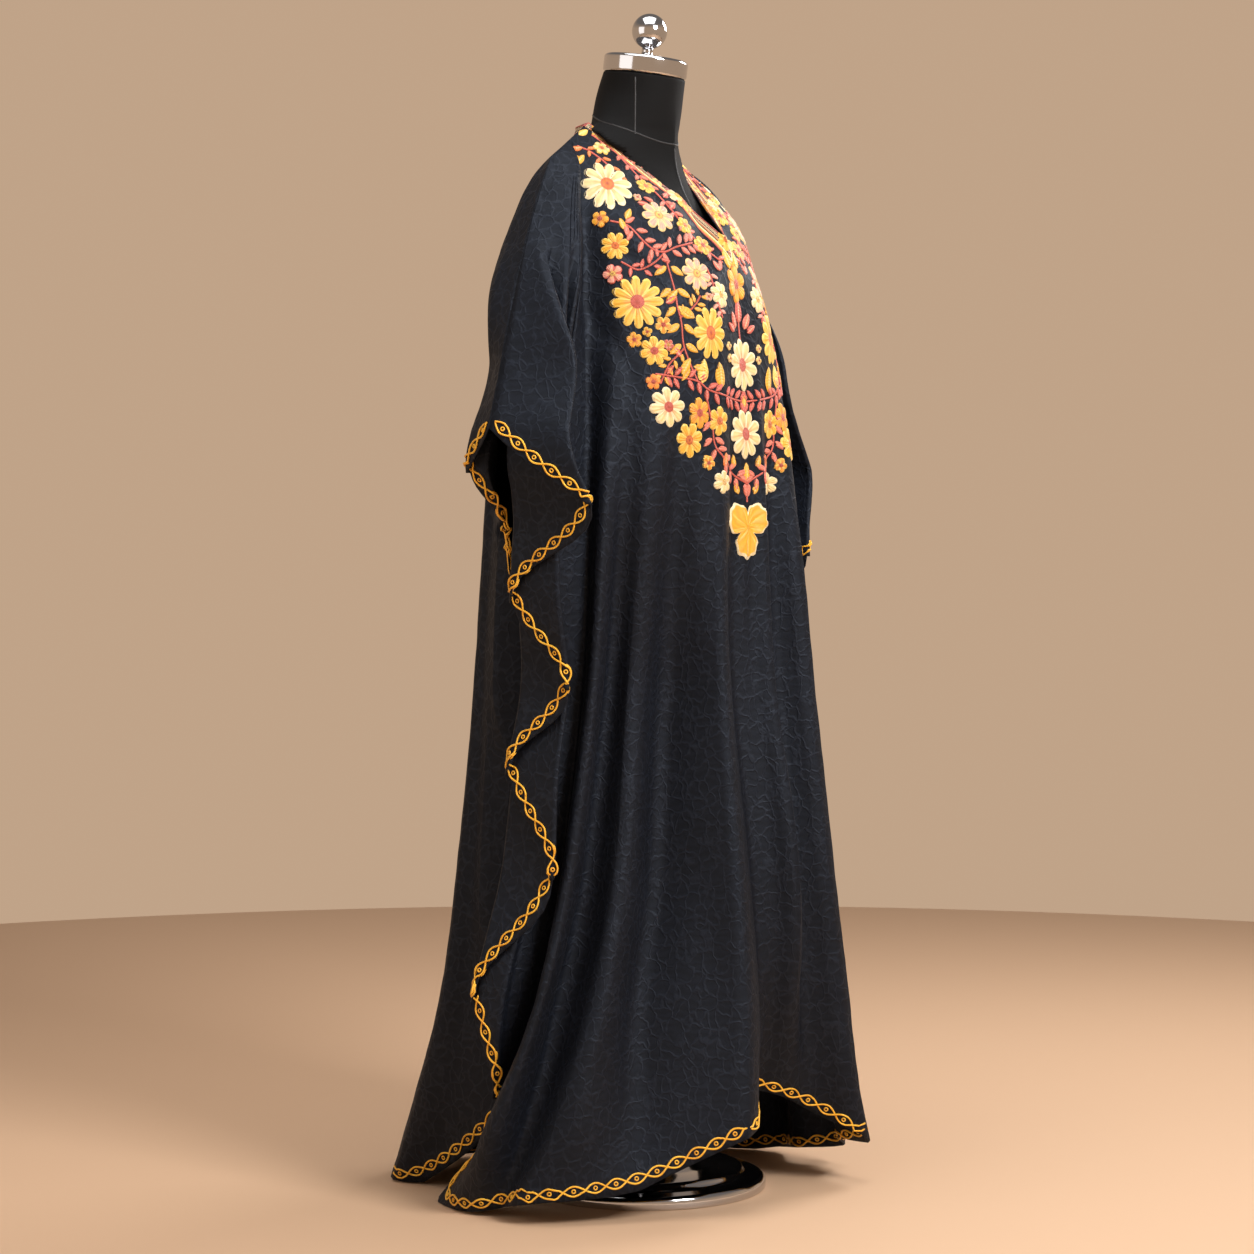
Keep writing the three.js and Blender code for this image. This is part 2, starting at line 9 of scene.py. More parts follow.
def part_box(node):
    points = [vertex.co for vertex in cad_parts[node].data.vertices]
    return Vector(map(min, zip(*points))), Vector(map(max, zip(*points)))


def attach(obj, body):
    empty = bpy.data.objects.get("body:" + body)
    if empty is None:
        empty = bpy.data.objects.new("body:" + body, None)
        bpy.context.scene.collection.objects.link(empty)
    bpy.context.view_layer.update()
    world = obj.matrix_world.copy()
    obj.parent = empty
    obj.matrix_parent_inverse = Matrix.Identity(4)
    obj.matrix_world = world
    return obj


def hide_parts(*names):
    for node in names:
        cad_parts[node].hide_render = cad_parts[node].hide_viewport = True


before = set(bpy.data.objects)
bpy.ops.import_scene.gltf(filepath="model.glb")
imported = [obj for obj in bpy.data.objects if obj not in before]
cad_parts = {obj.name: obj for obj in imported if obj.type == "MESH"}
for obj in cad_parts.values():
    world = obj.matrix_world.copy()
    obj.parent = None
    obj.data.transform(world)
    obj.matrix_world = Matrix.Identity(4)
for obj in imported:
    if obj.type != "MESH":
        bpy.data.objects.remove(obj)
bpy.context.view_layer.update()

# The photo's view: the camera's place round the form, and what it saw, in the photo's pixels
view = {"azimuth": -57, "away": 4.26, "height": 0.898, "focalPixels": 3022, "imagePixels": 1254,
        "axisPixel": 645, "horizonPixel": 548, "sensorWidth": 36}

# Places in the tables are [right, front, up] in millimetres: toward the wearer's right, toward the
# front, and the height. Everything else is in metres.
mm = 0.001
print("frame loaded")


# Shader maths
class Sock:
    # Wraps a socket or a number, so that shader values are written as expressions
    def __init__(self, tree, socket):
        self.tree, self.socket = tree, socket

    def math(self, operation, other=None):
        node = self.tree.nodes.new("ShaderNodeMath")
        node.operation = operation
        for k, value in enumerate((self, other)):
            if value is None:
                continue
            if isinstance(value, Sock):
                self.tree.links.new(value.socket, node.inputs[k])
            else:
                node.inputs[k].default_value = value
        return Sock(self.tree, node.outputs[0])

    def flipped(self, operation, other):
        node = self.tree.nodes.new("ShaderNodeMath")
        node.operation = operation
        node.inputs[0].default_value = other
        self.tree.links.new(self.socket, node.inputs[1])
        return Sock(self.tree, node.outputs[0])

    def __add__(self, other): return self.math("ADD", other)
    def __radd__(self, other): return self.math("ADD", other)
    def __sub__(self, other): return self.math("SUBTRACT", other)
    def __rsub__(self, other): return self.flipped("SUBTRACT", other)
    def __mul__(self, other): return self.math("MULTIPLY", other)
    def __lt__(self, other): return self.math("LESS_THAN", other)


class Finish:
    # One material with its own node tree; node() adds any node that isn't plain maths
    def __init__(self, name):
        self.material = bpy.data.materials.new(name)
        self.material.use_nodes = True
        self.tree = self.material.node_tree
        self.shader = self.tree.nodes["Principled BSDF"]

    def node(self, kind, settings=None, inputs=None, output=0):
        made = self.tree.nodes.new(kind)
        for key, value in (settings or {}).items():
            setattr(made, key, value)
        for key, value in (inputs or {}).items():
            if isinstance(value, Sock):
                self.tree.links.new(value.socket, made.inputs[key])
            else:
                made.inputs[key].default_value = value
        return Sock(self.tree, made.outputs[output])

    def ramp(self, factor, stops):
        made = self.tree.nodes.new("ShaderNodeValToRGB")
        points = made.color_ramp.elements
        while len(points) < len(stops):
            points.new(0.5)
        for point, (place, colour) in zip(points, stops):
            point.position, point.color = place, (*colour, 1)
        self.tree.links.new(factor.socket, made.inputs[0])
        return Sock(self.tree, made.outputs[0])

    def mixColour(self, factor, a, b):
        made = self.tree.nodes.new("ShaderNodeMix")
        made.data_type = "RGBA"
        for key, value in ((0, factor), (6, a), (7, b)):
            if isinstance(value, Sock):
                self.tree.links.new(value.socket, made.inputs[key])
            else:
                made.inputs[key].default_value = value if key == 0 else (*value, 1)
        return Sock(self.tree, made.outputs[2])

    def place(self):
        return self.node("ShaderNodeTexCoord", output=3)

    def uv(self, name):
        return self.node("ShaderNodeUVMap", {"uv_map": name})

    def split(self, vector):
        made = self.tree.nodes.new("ShaderNodeSeparateXYZ")
        self.tree.links.new(vector.socket, made.inputs[0])
        return [Sock(self.tree, out) for out in made.outputs]

    def stretched(self, vector, scale):
        return self.node("ShaderNodeMapping", None, {"Vector": vector, "Scale": scale})

    def noise(self, vector, scale, detail=2, output=0):
        return self.node("ShaderNodeTexNoise", None, {"Vector": vector, "Scale": scale, "Detail": detail},
                         output=output)

    def bump(self, height, strength=1.0, distance=0.001):
        return self.node("ShaderNodeBump", None,
                         {"Height": height, "Strength": strength, "Distance": distance})

    def set(self, **values):
        for key, value in values.items():
            socket = self.shader.inputs[key.replace("_", " ")]
            if isinstance(value, Sock):
                self.tree.links.new(value.socket, socket)
            else:
                socket.default_value = (*value, 1) if isinstance(value, tuple) and len(value) == 3 else value
        return self.material


def jacquardFinish():
    # Near-black cloth, with thin raised lines between leaning cells over a fine thread, with a soft sheen;
    # the raised lines and ribs are also painted lighter as a painted highlight
    f = Finish("crinkleJacquard")
    place = f.place()
    shift = f.node("ShaderNodeVectorMath", {"operation": "SCALE"},
                   {0: f.noise(place, 45, 2, output=1), "Scale": 0.022})
    bent = f.node("ShaderNodeVectorMath", {"operation": "ADD"}, {0: place, 1: shift})
    x, y, z = f.split(bent)
    rows = ((z * 520 + ((x + y * 0.6) * 330).math("SINE") * 1.5).math("SINE") * 0.5 + 0.5)  # leaning ribs
    cells = f.node("ShaderNodeTexVoronoi", {"feature": "DISTANCE_TO_EDGE"},
                   {"Vector": f.stretched(bent, (1, 1, 0.75)), "Scale": 62})
    raised = f.node("ShaderNodeMapRange", {"interpolation_type": "SMOOTHSTEP"},
                    {0: cells, 1: 0.0, 2: 0.13, 3: 1, 4: 0})
    thread = f.noise(f.stretched(place, (1, 1, 0.25)), 2600, 1)
    height = raised * 0.7 + rows * 0.18 + thread * 0.15
    blotch = f.noise(place, 9, 3)
    # Painted highlight: the raised cell lines and ribs are coloured lighter than the cloth; the blotch adds
    # random tone
    embossHighlightAndTone = raised * 0.35 + rows * 0.25 + blotch * 0.4
    colour = f.ramp(embossHighlightAndTone, [(0.1, (0.0020, 0.0024, 0.0040)), (0.5, (0.0042, 0.0053, 0.0092)),
                           (0.95, (0.0095, 0.0122, 0.0195))])
    rough = 0.60 - raised * 0.10 + blotch * 0.08
    return f.set(Base_Color=colour, Roughness=rough, Sheen_Weight=0.02, Sheen_Roughness=0.35,
                 Sheen_Tint=(0.62, 0.66, 0.8), Specular_IOR_Level=0.27, Specular_Tint=(0.72, 0.82, 1.0),
                 Normal=f.bump(height, 0.6, 0.0009))


def formClothFinish():
    f = Finish("formCloth")
    place = f.place()
    weave = f.noise(f.stretched(place, (1, 1, 0.5)), 2400, 2)
    blotch = f.noise(place, 12, 2)
    colour = f.ramp(blotch, [(0.3, (0.0014, 0.0014, 0.0016)), (0.7, (0.0024, 0.0024, 0.0028))])
    return f.set(Base_Color=colour, Roughness=0.72 + weave * 0.14, Sheen_Weight=0.012, Sheen_Roughness=0.4,
                 Sheen_Tint=(0.7, 0.7, 0.75), Specular_IOR_Level=0.2, Normal=f.bump(weave, 0.5, 0.0004))


def seamHighlightFinish():
    # Painted highlight: the seam is coloured lighter than the form cloth, with a stitch speckle
    f = Finish("seamPaintedHighlight")
    stitches = f.noise(f.place(), 700, 1)
    return f.set(Base_Color=f.ramp(stitches, [(0.3, (0.008, 0.008, 0.009)), (0.7, (0.022, 0.022, 0.024))]),
                 Roughness=0.5 + stitches * 0.1)


def chromeFinish():
    f = Finish("polishedChrome")
    smear = f.noise(f.place(), 14, 3)
    return f.set(Base_Color=(0.60, 0.60, 0.62), Metallic=1.0, Roughness=0.05 + smear * 0.09)


def threadFinish():
    # Embroidery thread: its colour is painted on the mesh, and fine stitches cross its UV's u
    f = Finish("embroideryThread")
    paint = f.node("ShaderNodeVertexColor", {"layer_name": "paint"})
    strands = f.split(f.uv("stitch"))[0].math("SINE") * 0.5 + 0.5
    grain = f.noise(f.place(), 900, 2)
    colour = f.mixColour(strands * 0.16 + grain * 0.14, paint, (0.10, 0.05, 0.02))
    return f.set(Base_Color=colour, Roughness=0.45 + grain * 0.15, Sheen_Weight=0.3,
                 Sheen_Roughness=0.35, Specular_IOR_Level=0.6,
                 Normal=f.bump(strands * 0.7 + grain * 0.5, 0.7, 0.0007))


def goldCordFinish():
    f = Finish("goldCord")
    place = f.place()
    grain = f.noise(place, 1500, 2)
    patch = f.noise(place, 35, 2)
    colour = f.ramp(grain * 0.5 + patch * 0.5, [(0.3, (0.62, 0.24, 0.014)), (0.5, (0.98, 0.50, 0.03)),
                                               (0.75, (1.0, 0.68, 0.09))])
    return f.set(Base_Color=colour, Roughness=0.4, Metallic=0.15, Sheen_Weight=0.2, Sheen_Roughness=0.35,
                 Normal=f.bump(grain, 0.8, 0.0006))


clothFinish = jacquardFinish()
formFinish = formClothFinish()
chrome = chromeFinish()
threads = threadFinish()
goldCord = goldCordFinish()
print("finishes made")


# The cut of the cloth and how it falls
cloth = {
    "thickness": 1.4, "rows": 150, "steps": 4, "turnSteps": 3, "foldWidth": 8, "upperLevel": 1150,
    "shoulderFall": 75, "sideTaper": 170, "edgeTaper": 260, "pleatFrom": 1330, "pleatOver": 200,
    "bulge": 28, "bulgeMore": 20, "bulgeFrom": 1400, "bulgeOver": 200, "stepInEdge": 55, "faceColumns": 8,
}
neckPoint, shoulderTip = [85, -40, 1490], [190, -30, 1430]
frontNeckPoint, backNeckPoint = [0, 134, 1325], [0, -93, 1484]
neckBandEnd = 0.11
sleeveLines = {
    "right": [[190, -30, 1430], [250, -22, 1330], [310, -12, 1200], [360, -10, 1055]],
    "left": [[190, -30, 1430], [250, -22, 1328], [308, -12, 1185], [352, -10, 1015]],
}
# Side folds from the cuff inward: the way the fold points, its place 1150 up, and its end on the side edge
frontSideFolds = {
    "right": [
        {"tip": 1, "upper": [290, 80], "edge": [310, 120, 954]},
        {"tip": -1, "upper": [279, -4], "edge": [290, -26, 825]},
        {"tip": 1, "upper": [268, 48], "edge": [262, 50, 709]},
        {"tip": -1, "upper": [258, -4], "edge": [272, -45, 594]},
        {"tip": 1, "upper": [248, 40], "edge": [270, 30, 457]},
        {"tip": -1, "upper": [238, -4], "edge": [300, -84, 290]},
        {"tip": 1, "upper": [228, 34], "edge": [285, -52, 160]},
    ],
    "left": [
        {"tip": 1, "upper": [286, 66], "edge": [300, 96, 886]},
        {"tip": -1, "upper": [276, -4], "edge": [284, -26, 772]},
        {"tip": 1, "upper": [266, 46], "edge": [262, 48, 655]},
        {"tip": -1, "upper": [256, -4], "edge": [270, -40, 540]},
        {"tip": 1, "upper": [247, 38], "edge": [268, 30, 410]},
        {"tip": -1, "upper": [238, -4], "edge": [292, -66, 262]},
        {"tip": 1, "upper": [229, 32], "edge": [286, -30, 140]},
    ],
}
backSideFolds = {
    "right": [{"tip": -1, "upper": [300, -52], "edge": [330, -70, 998]},
              {"tip": 1, "upper": [268, -32], "edge": [266, -46, 922]}],
    "left": [{"tip": -1, "upper": [298, -50], "edge": [324, -68, 956]},
             {"tip": 1, "upper": [267, -32], "edge": [264, -46, 872]}],
}
# Columns of the back between its inner side fold and its corner
backEdges = {
    "right": [(0.34, [198, -26, 700]), (0.6, [193, -22, 450]), (0.82, [196, -64, 160])],
    "left": [(0.34, [198, -26, 670]), (0.6, [192, -22, 430]), (0.82, [198, -60, 160])],
}
# Folds of the body from side to side: where each starts on the shoulder (0 neck, 1 tip) or neckline
# (0 neck, 1 middle), its foot on the hem, and its [right, front] at each level
levels = [1360, 1280, 1200, 1000, 720, 450, 280, 130]
frontFolds = [
    {"fold": "right side valley", "shoulder": 0.42, "foot": [235, -185, 4],
     "at": [[182, 12], [188, 22], [195, 30], [203, 40], [200, 30], [215, 5], [225, -8], [238, -72]]},
    {"fold": "right side ridge", "shoulder": 0.2, "foot": [288, -95, 4],
     "at": [[165, 40], [172, 58], [181, 66], [208, 70], [217, 57], [255, 38], [300, 20], [328, -28]]},
    {"fold": "right band edge", "shoulder": 0.11, "foot": [287, -72, 8],
     "at": [[156, 50], [164, 69], [174, 78], [197, 80], [194, 57], [229, 42], [271, 22], [302, -15]]},
    {"fold": "right side trough", "shoulder": 0, "foot": [282, -46, 14],
     "at": [[146, 60], [156, 79], [165, 88], [184, 88], [168, 54], [200, 39], [238, 18], [272, -8]]},
    {"fold": "right ridge", "neck": 0.26, "foot": [310, 2, 28],
     "at": [[105, 84], [125, 106], [143, 112], [163, 113], [170, 87], [210, 92], [250, 87], [290, 57]]},
    {"fold": "right trough", "neck": 0.5, "foot": [208, 128, 44],
     "at": [[62, 97], [86, 127], [113, 134], [118, 134], [98, 101], [125, 98], [165, 96], [189, 114]]},
    {"fold": "near ridge", "neck": 0.74, "foot": [110, 237, 109],
     "at": [[21, 91], [46, 143], [66, 160], [64, 165], [71, 172], [85, 205], [94, 224], [106, 235]]},
    {"fold": "near trough", "neck": 0.9, "foot": [24, 196, 128],
     "at": [[10, 110], [20, 146], [28, 158], [26, 164], [24, 164], [20, 192], [14, 200], [14, 196]]},
    {"fold": "middle", "neck": 1, "foot": [-38, 152, 143],
     "at": [[0, 120], [0, 145], [0, 154], [0, 166], [-2, 172], [-4, 200], [-12, 196], [-30, 160]]},
    {"fold": "middle ridge", "neck": -0.9, "foot": [-76, 176, 132],
     "at": [[-10, 110], [-21, 146], [-29, 158], [-30, 171], [-28, 190], [-28, 230], [-38, 222], [-60, 190]]},
    {"fold": "far trough", "neck": -0.76, "foot": [-118, 206, 104],
     "at": [[-20, 93], [-45, 143], [-62, 160], [-62, 166], [-62, 178], [-66, 204], [-78, 206], [-100, 206]]},
    {"fold": "far ridge", "neck": -0.56, "foot": [-173, 266, 63],
     "at": [[-54, 98], [-84, 128], [-106, 143], [-100, 182], [-104, 212],
            [-114, 241], [-130, 255], [-152, 262]]},
    {"fold": "left trough", "neck": -0.3, "foot": [-215, 192, 50],
     "at": [[-100, 86], [-122, 108], [-140, 116], [-136, 146], [-126, 150],
            [-140, 164], [-152, 174], [-184, 184]]},
    {"fold": "left ridge", "shoulder": 0, "foot": [-266, 170, 30],
     "at": [[-146, 60], [-156, 79], [-166, 90], [-168, 128], [-188, 140],
            [-214, 163], [-234, 177], [-252, 177]]},
    {"fold": "left side trough", "shoulder": 0.11, "foot": [-262, 96, 20],
     "at": [[-160, 46], [-168, 64], [-178, 74], [-184, 94], [-180, 90], [-198, 95], [-214, 95], [-236, 95]]},
    {"fold": "left side ridge", "shoulder": 0.3, "foot": [-304, 40, 8],
     "at": [[-172, 28], [-180, 44], [-188, 52], [-210, 70], [-224, 70], [-254, 68], [-280, 66], [-298, 54]]},
    {"fold": "left side valley", "shoulder": 0.44, "foot": [-250, -96, 4],
     "at": [[-182, 12], [-188, 22], [-195, 30], [-204, 40], [-202, 30], [-212, 6], [-222, -6], [-236, -46]]},
]
backFolds = [
    {"fold": "left corner", "shoulder": 0.62, "foot": [-190, -226, 4],
     "at": [[-186, -64], [-200, -82], [-208, -96], [-212, -106], [-213, -124],
            [-212, -142], [-206, -158], [-198, -190]]},
    {"fold": "left ridge", "shoulder": 0.5, "foot": [-172, -300, 4],
     "at": [[-176, -76], [-190, -98], [-198, -112], [-203, -128], [-206, -148],
            [-210, -174], [-206, -204], [-192, -250]]},
    {"fold": "left trough", "shoulder": 0.11, "foot": [-120, -282, 6],
     "at": [[-126, -96], [-142, -112], [-150, -122], [-150, -124], [-148, -128],
            [-148, -146], [-146, -174], [-134, -226]]},
    {"fold": "left neck corner", "shoulder": 0, "foot": [-106, -316, 4],
     "at": [[-100, -104], [-116, -120], [-124, -131], [-128, -138], [-128, -152],
            [-130, -176], [-128, -208], [-118, -260]]},
    {"fold": "left back ridge", "neck": -0.3, "foot": [-86, -352, 4],
     "at": [[-76, -110], [-90, -126], [-98, -138], [-102, -152], [-108, -180],
            [-112, -212], [-108, -246], [-98, -300]]},
    {"fold": "left back trough", "neck": -0.66, "foot": [-38, -296, 10],
     "at": [[-34, -112], [-42, -126], [-48, -134], [-50, -142], [-52, -156],
            [-52, -178], [-50, -206], [-44, -252]]},
    {"fold": "middle back ridge", "neck": 1, "foot": [0, -340, 4],
     "at": [[0, -112], [0, -128], [0, -140], [0, -156], [2, -190], [2, -222], [2, -252], [0, -298]]},
    {"fold": "right back trough", "neck": 0.66, "foot": [42, -312, 8],
     "at": [[34, -112], [42, -126], [48, -134], [50, -140], [54, -152], [56, -176], [54, -204], [48, -258]]},
    {"fold": "right back ridge", "neck": 0.3, "foot": [88, -362, 4],
     "at": [[76, -110], [90, -126], [99, -138], [106, -150], [114, -178],
            [122, -210], [122, -244], [106, -306]]},
    {"fold": "right neck corner", "shoulder": 0, "foot": [110, -324, 4],
     "at": [[100, -104], [116, -120], [125, -131], [130, -137], [132, -150],
            [138, -176], [138, -206], [124, -264]]},
    {"fold": "right trough", "shoulder": 0.11, "foot": [128, -290, 6],
     "at": [[126, -96], [142, -112], [150, -122], [152, -122], [150, -126],
            [152, -146], [152, -170], [142, -224]]},
    {"fold": "right ridge", "shoulder": 0.5, "foot": [166, -322, 4],
     "at": [[176, -76], [190, -98], [198, -112], [203, -126], [206, -146],
            [212, -172], [212, -200], [196, -256]]},
    {"fold": "right corner", "shoulder": 0.62, "foot": [168, -262, 4],
     "at": [[186, -64], [200, -82], [208, -96], [212, -106], [213, -124],
            [212, -142], [206, -160], [196, -196]]},
]


def mixed(a, b, t):
    return [p + (q - p) * t for p, q in zip(a, b)]


def ease(t):
    t = min(1, max(0, t))
    return t * t * (3 - 2 * t)


def mirrored(place, side):
    return [place[0] * side, *place[1:]]


def toVector(place):
    return Vector((-place[0] * mm, -place[1] * mm, place[2] * mm))


def trace(rows, up):
    # A smooth curve down through rows of [right, front, up], read at a height
    i = 0
    while i < len(rows) - 2 and up < rows[i + 1][2]:
        i += 1
    a, b = rows[i], rows[i + 1]
    span = b[2] - a[2]
    t = min(1, max(0, (up - a[2]) / span))
    slope = lambda p, q: [(q[k] - p[k]) / (q[2] - p[2]) for k in (0, 1)]
    ta = slope(rows[i - 1], b) if i > 0 else slope(a, b)
    tb = slope(a, rows[i + 2]) if i + 2 < len(rows) else slope(a, b)
    return [(2 * t**3 - 3 * t**2 + 1) * a[k] + (t**3 - 2 * t**2 + t) * span * ta[k]
            + (3 * t**2 - 2 * t**3) * b[k] + (t**3 - t**2) * span * tb[k] for k in (0, 1)] + [up]


def neckline(part, isFront):
    if isFront:
        return mixed(neckPoint, frontNeckPoint, part)
    turn = part * math.pi / 2
    return [neckPoint[0] * math.cos(turn),
            neckPoint[1] + (backNeckPoint[1] - neckPoint[1]) * math.sin(turn),
            neckPoint[2] + (backNeckPoint[2] - neckPoint[2]) * math.sin(turn)]


def bodyColumn(row, isFront):
    onShoulder = "shoulder" in row
    if onShoulder:
        start = mirrored(mixed(neckPoint, shoulderTip, row["shoulder"]), math.copysign(1, row["foot"][0]))
    else:
        start = mirrored(neckline(abs(row["neck"]), isFront), math.copysign(1, row["neck"]))
    rows = [[*place, up] for place, up in zip(row["at"], levels) if row["foot"][2] + 40 < up < start[2] - 30]
    path = [start, *rows, row["foot"]]
    return {"start": start, "end": row["foot"], "turn": None,
            "neck": not onShoulder or row["shoulder"] <= neckBandEnd, "at": lambda up: trace(path, up)}


def wingColumns(side, folds, line, body, isFront):
    # Columns of one side wing, from the sleeve line inward to the body: gathered pleats that hang
    # from the shoulder, each turning round its fold
    c = cloth
    line = [mirrored(place, side) for place in line]
    edges = [[line[3][0] * side, line[3][1], line[3][2]], *[row["edge"] for row in folds]]
    columns = [{"start": line[0], "end": line[3], "turn": None, "neck": False,
                "at": lambda up: trace(line, up)}]

    def indexAt(up):
        if up <= edges[-1][2]:
            return len(edges) - 1
        if up >= edges[0][2]:
            return 0
        k = next(n for n, edge in enumerate(edges) if up > edge[2]) - 1
        return k + (edges[k][2] - up) / (edges[k][2] - edges[k + 1][2])

    def pleatColumn(row, number, turn):
        part = (number - turn * 0.25) / (len(folds) + 1)
        start = mixed(line[0], body["start"], part)

        def pleat(up):
            low = trace(edges, up)[0] - (c["foldWidth"] + 1) * (number - indexAt(up))
            down = min(1, max(0, (c["upperLevel"] - up) / (c["upperLevel"] - row["edge"][2])))
            reach = row["upper"][1] + (row["edge"][1] - row["upper"][1]) * down**1.5
            out = row["upper"][0] + (low - row["upper"][0]) * ease((c["upperLevel"] - up) / c["sideTaper"])
            back = 0 if turn == 0 else c["foldWidth"] / 2
            return [(out + turn * c["foldWidth"] / 2) * side, reach - row["tip"] * back]

        def at(up):
            outer, inner = trace(line, up), body["at"](up)
            swell = c["bulge"] + c["bulgeMore"] * ease((c["bulgeFrom"] - up) / c["bulgeOver"])
            swell *= (1 if isFront else -1) * math.sin(math.pi * part)
            plain = [outer[0] + (inner[0] - outer[0]) * part, outer[1] + (inner[1] - outer[1]) * part + swell]
            folded = mixed(plain, pleat(up), ease((c["pleatFrom"] - up) / c["pleatOver"]))
            fall = min(1, max(0, (start[2] - up) / c["shoulderFall"]))
            return [*mixed(start[:2], folded, 1 - (1 - fall)**4), up]

        edge = row["edge"][2]
        return {"start": start, "end": [*pleat(edge), edge], "turn": number, "neck": False, "at": at}

    for number, row in enumerate(folds, 1):
        columns += [pleatColumn(row, number, turn) for turn in (1, 0, -1)]
    return columns


def edgeColumn(side, part, edge, inner, corner):
    end = mirrored(edge, side)
    start = mixed(inner["start"], corner["start"], part)

    def at(up):
        between = mixed(inner["at"](max(up, inner["end"][2])), corner["at"](up), part)
        near = ease((end[2] + cloth["edgeTaper"] - up) / cloth["edgeTaper"])
        return [*mixed(between[:2], end[:2], near), up]

    return {"start": start, "end": end, "turn": None, "neck": False, "at": at}


def panelColumns(isFront):
    body = [bodyColumn(row, isFront) for row in (frontFolds if isFront else backFolds)]
    if isFront:
        right = wingColumns(1, frontSideFolds["right"], sleeveLines["right"], body[0], True)
        left = wingColumns(-1, frontSideFolds["left"], sleeveLines["left"], body[-1], True)
        return right + body + left[::-1]

    def wing(side, name, corner):
        columns = wingColumns(side, backSideFolds[name], sleeveLines[name], corner, False)
        inner = columns[-1]
        return columns + [edgeColumn(side, part, edge, inner, corner) for part, edge in backEdges[name]]

    return wing(-1, "left", body[0]) + body + wing(1, "right", body[-1])[::-1]


def rounded(a, b, c, d, t):
    # A point of a smooth curve from b to c, whose direction at each end is shared with its neighbour
    def way(p, q, r):
        both = (q - p).normalized() + (r - q).normalized()
        return both.normalized() if both.length > 0.2 else Vector((0, 0, 0))
    length = (c - b).length
    start, end = way(a, b, c) * length, way(b, c, d) * length
    return ((2 * t**3 - 3 * t**2 + 1) * b + (t**3 - 2 * t**2 + t) * start
            + (3 * t**2 - 2 * t**3) * c + (t**3 - t**2) * end)


def withPleatFaces(columns):
    # More columns on each pleat's face, so placed that the side edge runs from fold to fold in a wave
    out = []
    for left, right in zip(columns, columns[1:]):
        out.append(left)
        drop = right["end"][2] - left["end"][2]
        inTurn = left["turn"] is not None and left["turn"] == right["turn"]
        if inTurn or abs(drop) < cloth["stepInEdge"]:
            continue
        wave = left["turn"] is not None and right["turn"] is not None
        for s in (k / cloth["faceColumns"] for k in range(1, cloth["faceColumns"])):
            t = s - math.sin(2 * math.pi * s) / (2 * math.pi) if wave else s
            between = lambda up, a=left, b=right, t=t: mixed(a["at"](up), b["at"](up), t)
            out.append({"start": mixed(left["start"], right["start"], t), "turn": None, "neck": False,
                        "end": [0, 0, left["end"][2] + drop * s], "face": True, "at": between})
    return out + [columns[-1]]


def panelGrid(columns):
    # Rows of points from the shoulders to the free edge, and the stretch of them along the neckline
    columns = withPleatFaces(columns)
    grid, neck = [], []
    for j in range(cloth["rows"] + 1):
        part = j / cloth["rows"]
        down = 0.8 * part + 0.2 * part * part
        knots = []
        for column in columns:
            top = column["start"]
            up = top[2] - down * (top[2] - column["end"][2])
            knots.append(toVector(top if j == 0 else column["at"](up)))
        soft = ease(part * 30)
        row = []
        for i, here in enumerate(knots[:-1]):
            left, right = columns[i], columns[i + 1]
            inTurn = left["turn"] is not None and left["turn"] == right["turn"]
            onFace = "face" in left or "face" in right
            steps = cloth["turnSteps"] if inTurn else 1 if onFace else cloth["steps"]
            if j == 0 and left["neck"] and right["neck"]:
                neck += [len(row), len(row) + steps]
            before, after = knots[max(0, i - 1)], knots[min(len(knots) - 1, i + 2)]
            for s in range(steps):
                t = s / steps
                curved = rounded(before, here, knots[i + 1], after, t)
                row.append(here.lerp(knots[i + 1], t).lerp(curved, soft))
        row.append(knots[-1])
        grid.append(row)
    return grid, (min(neck), max(neck))


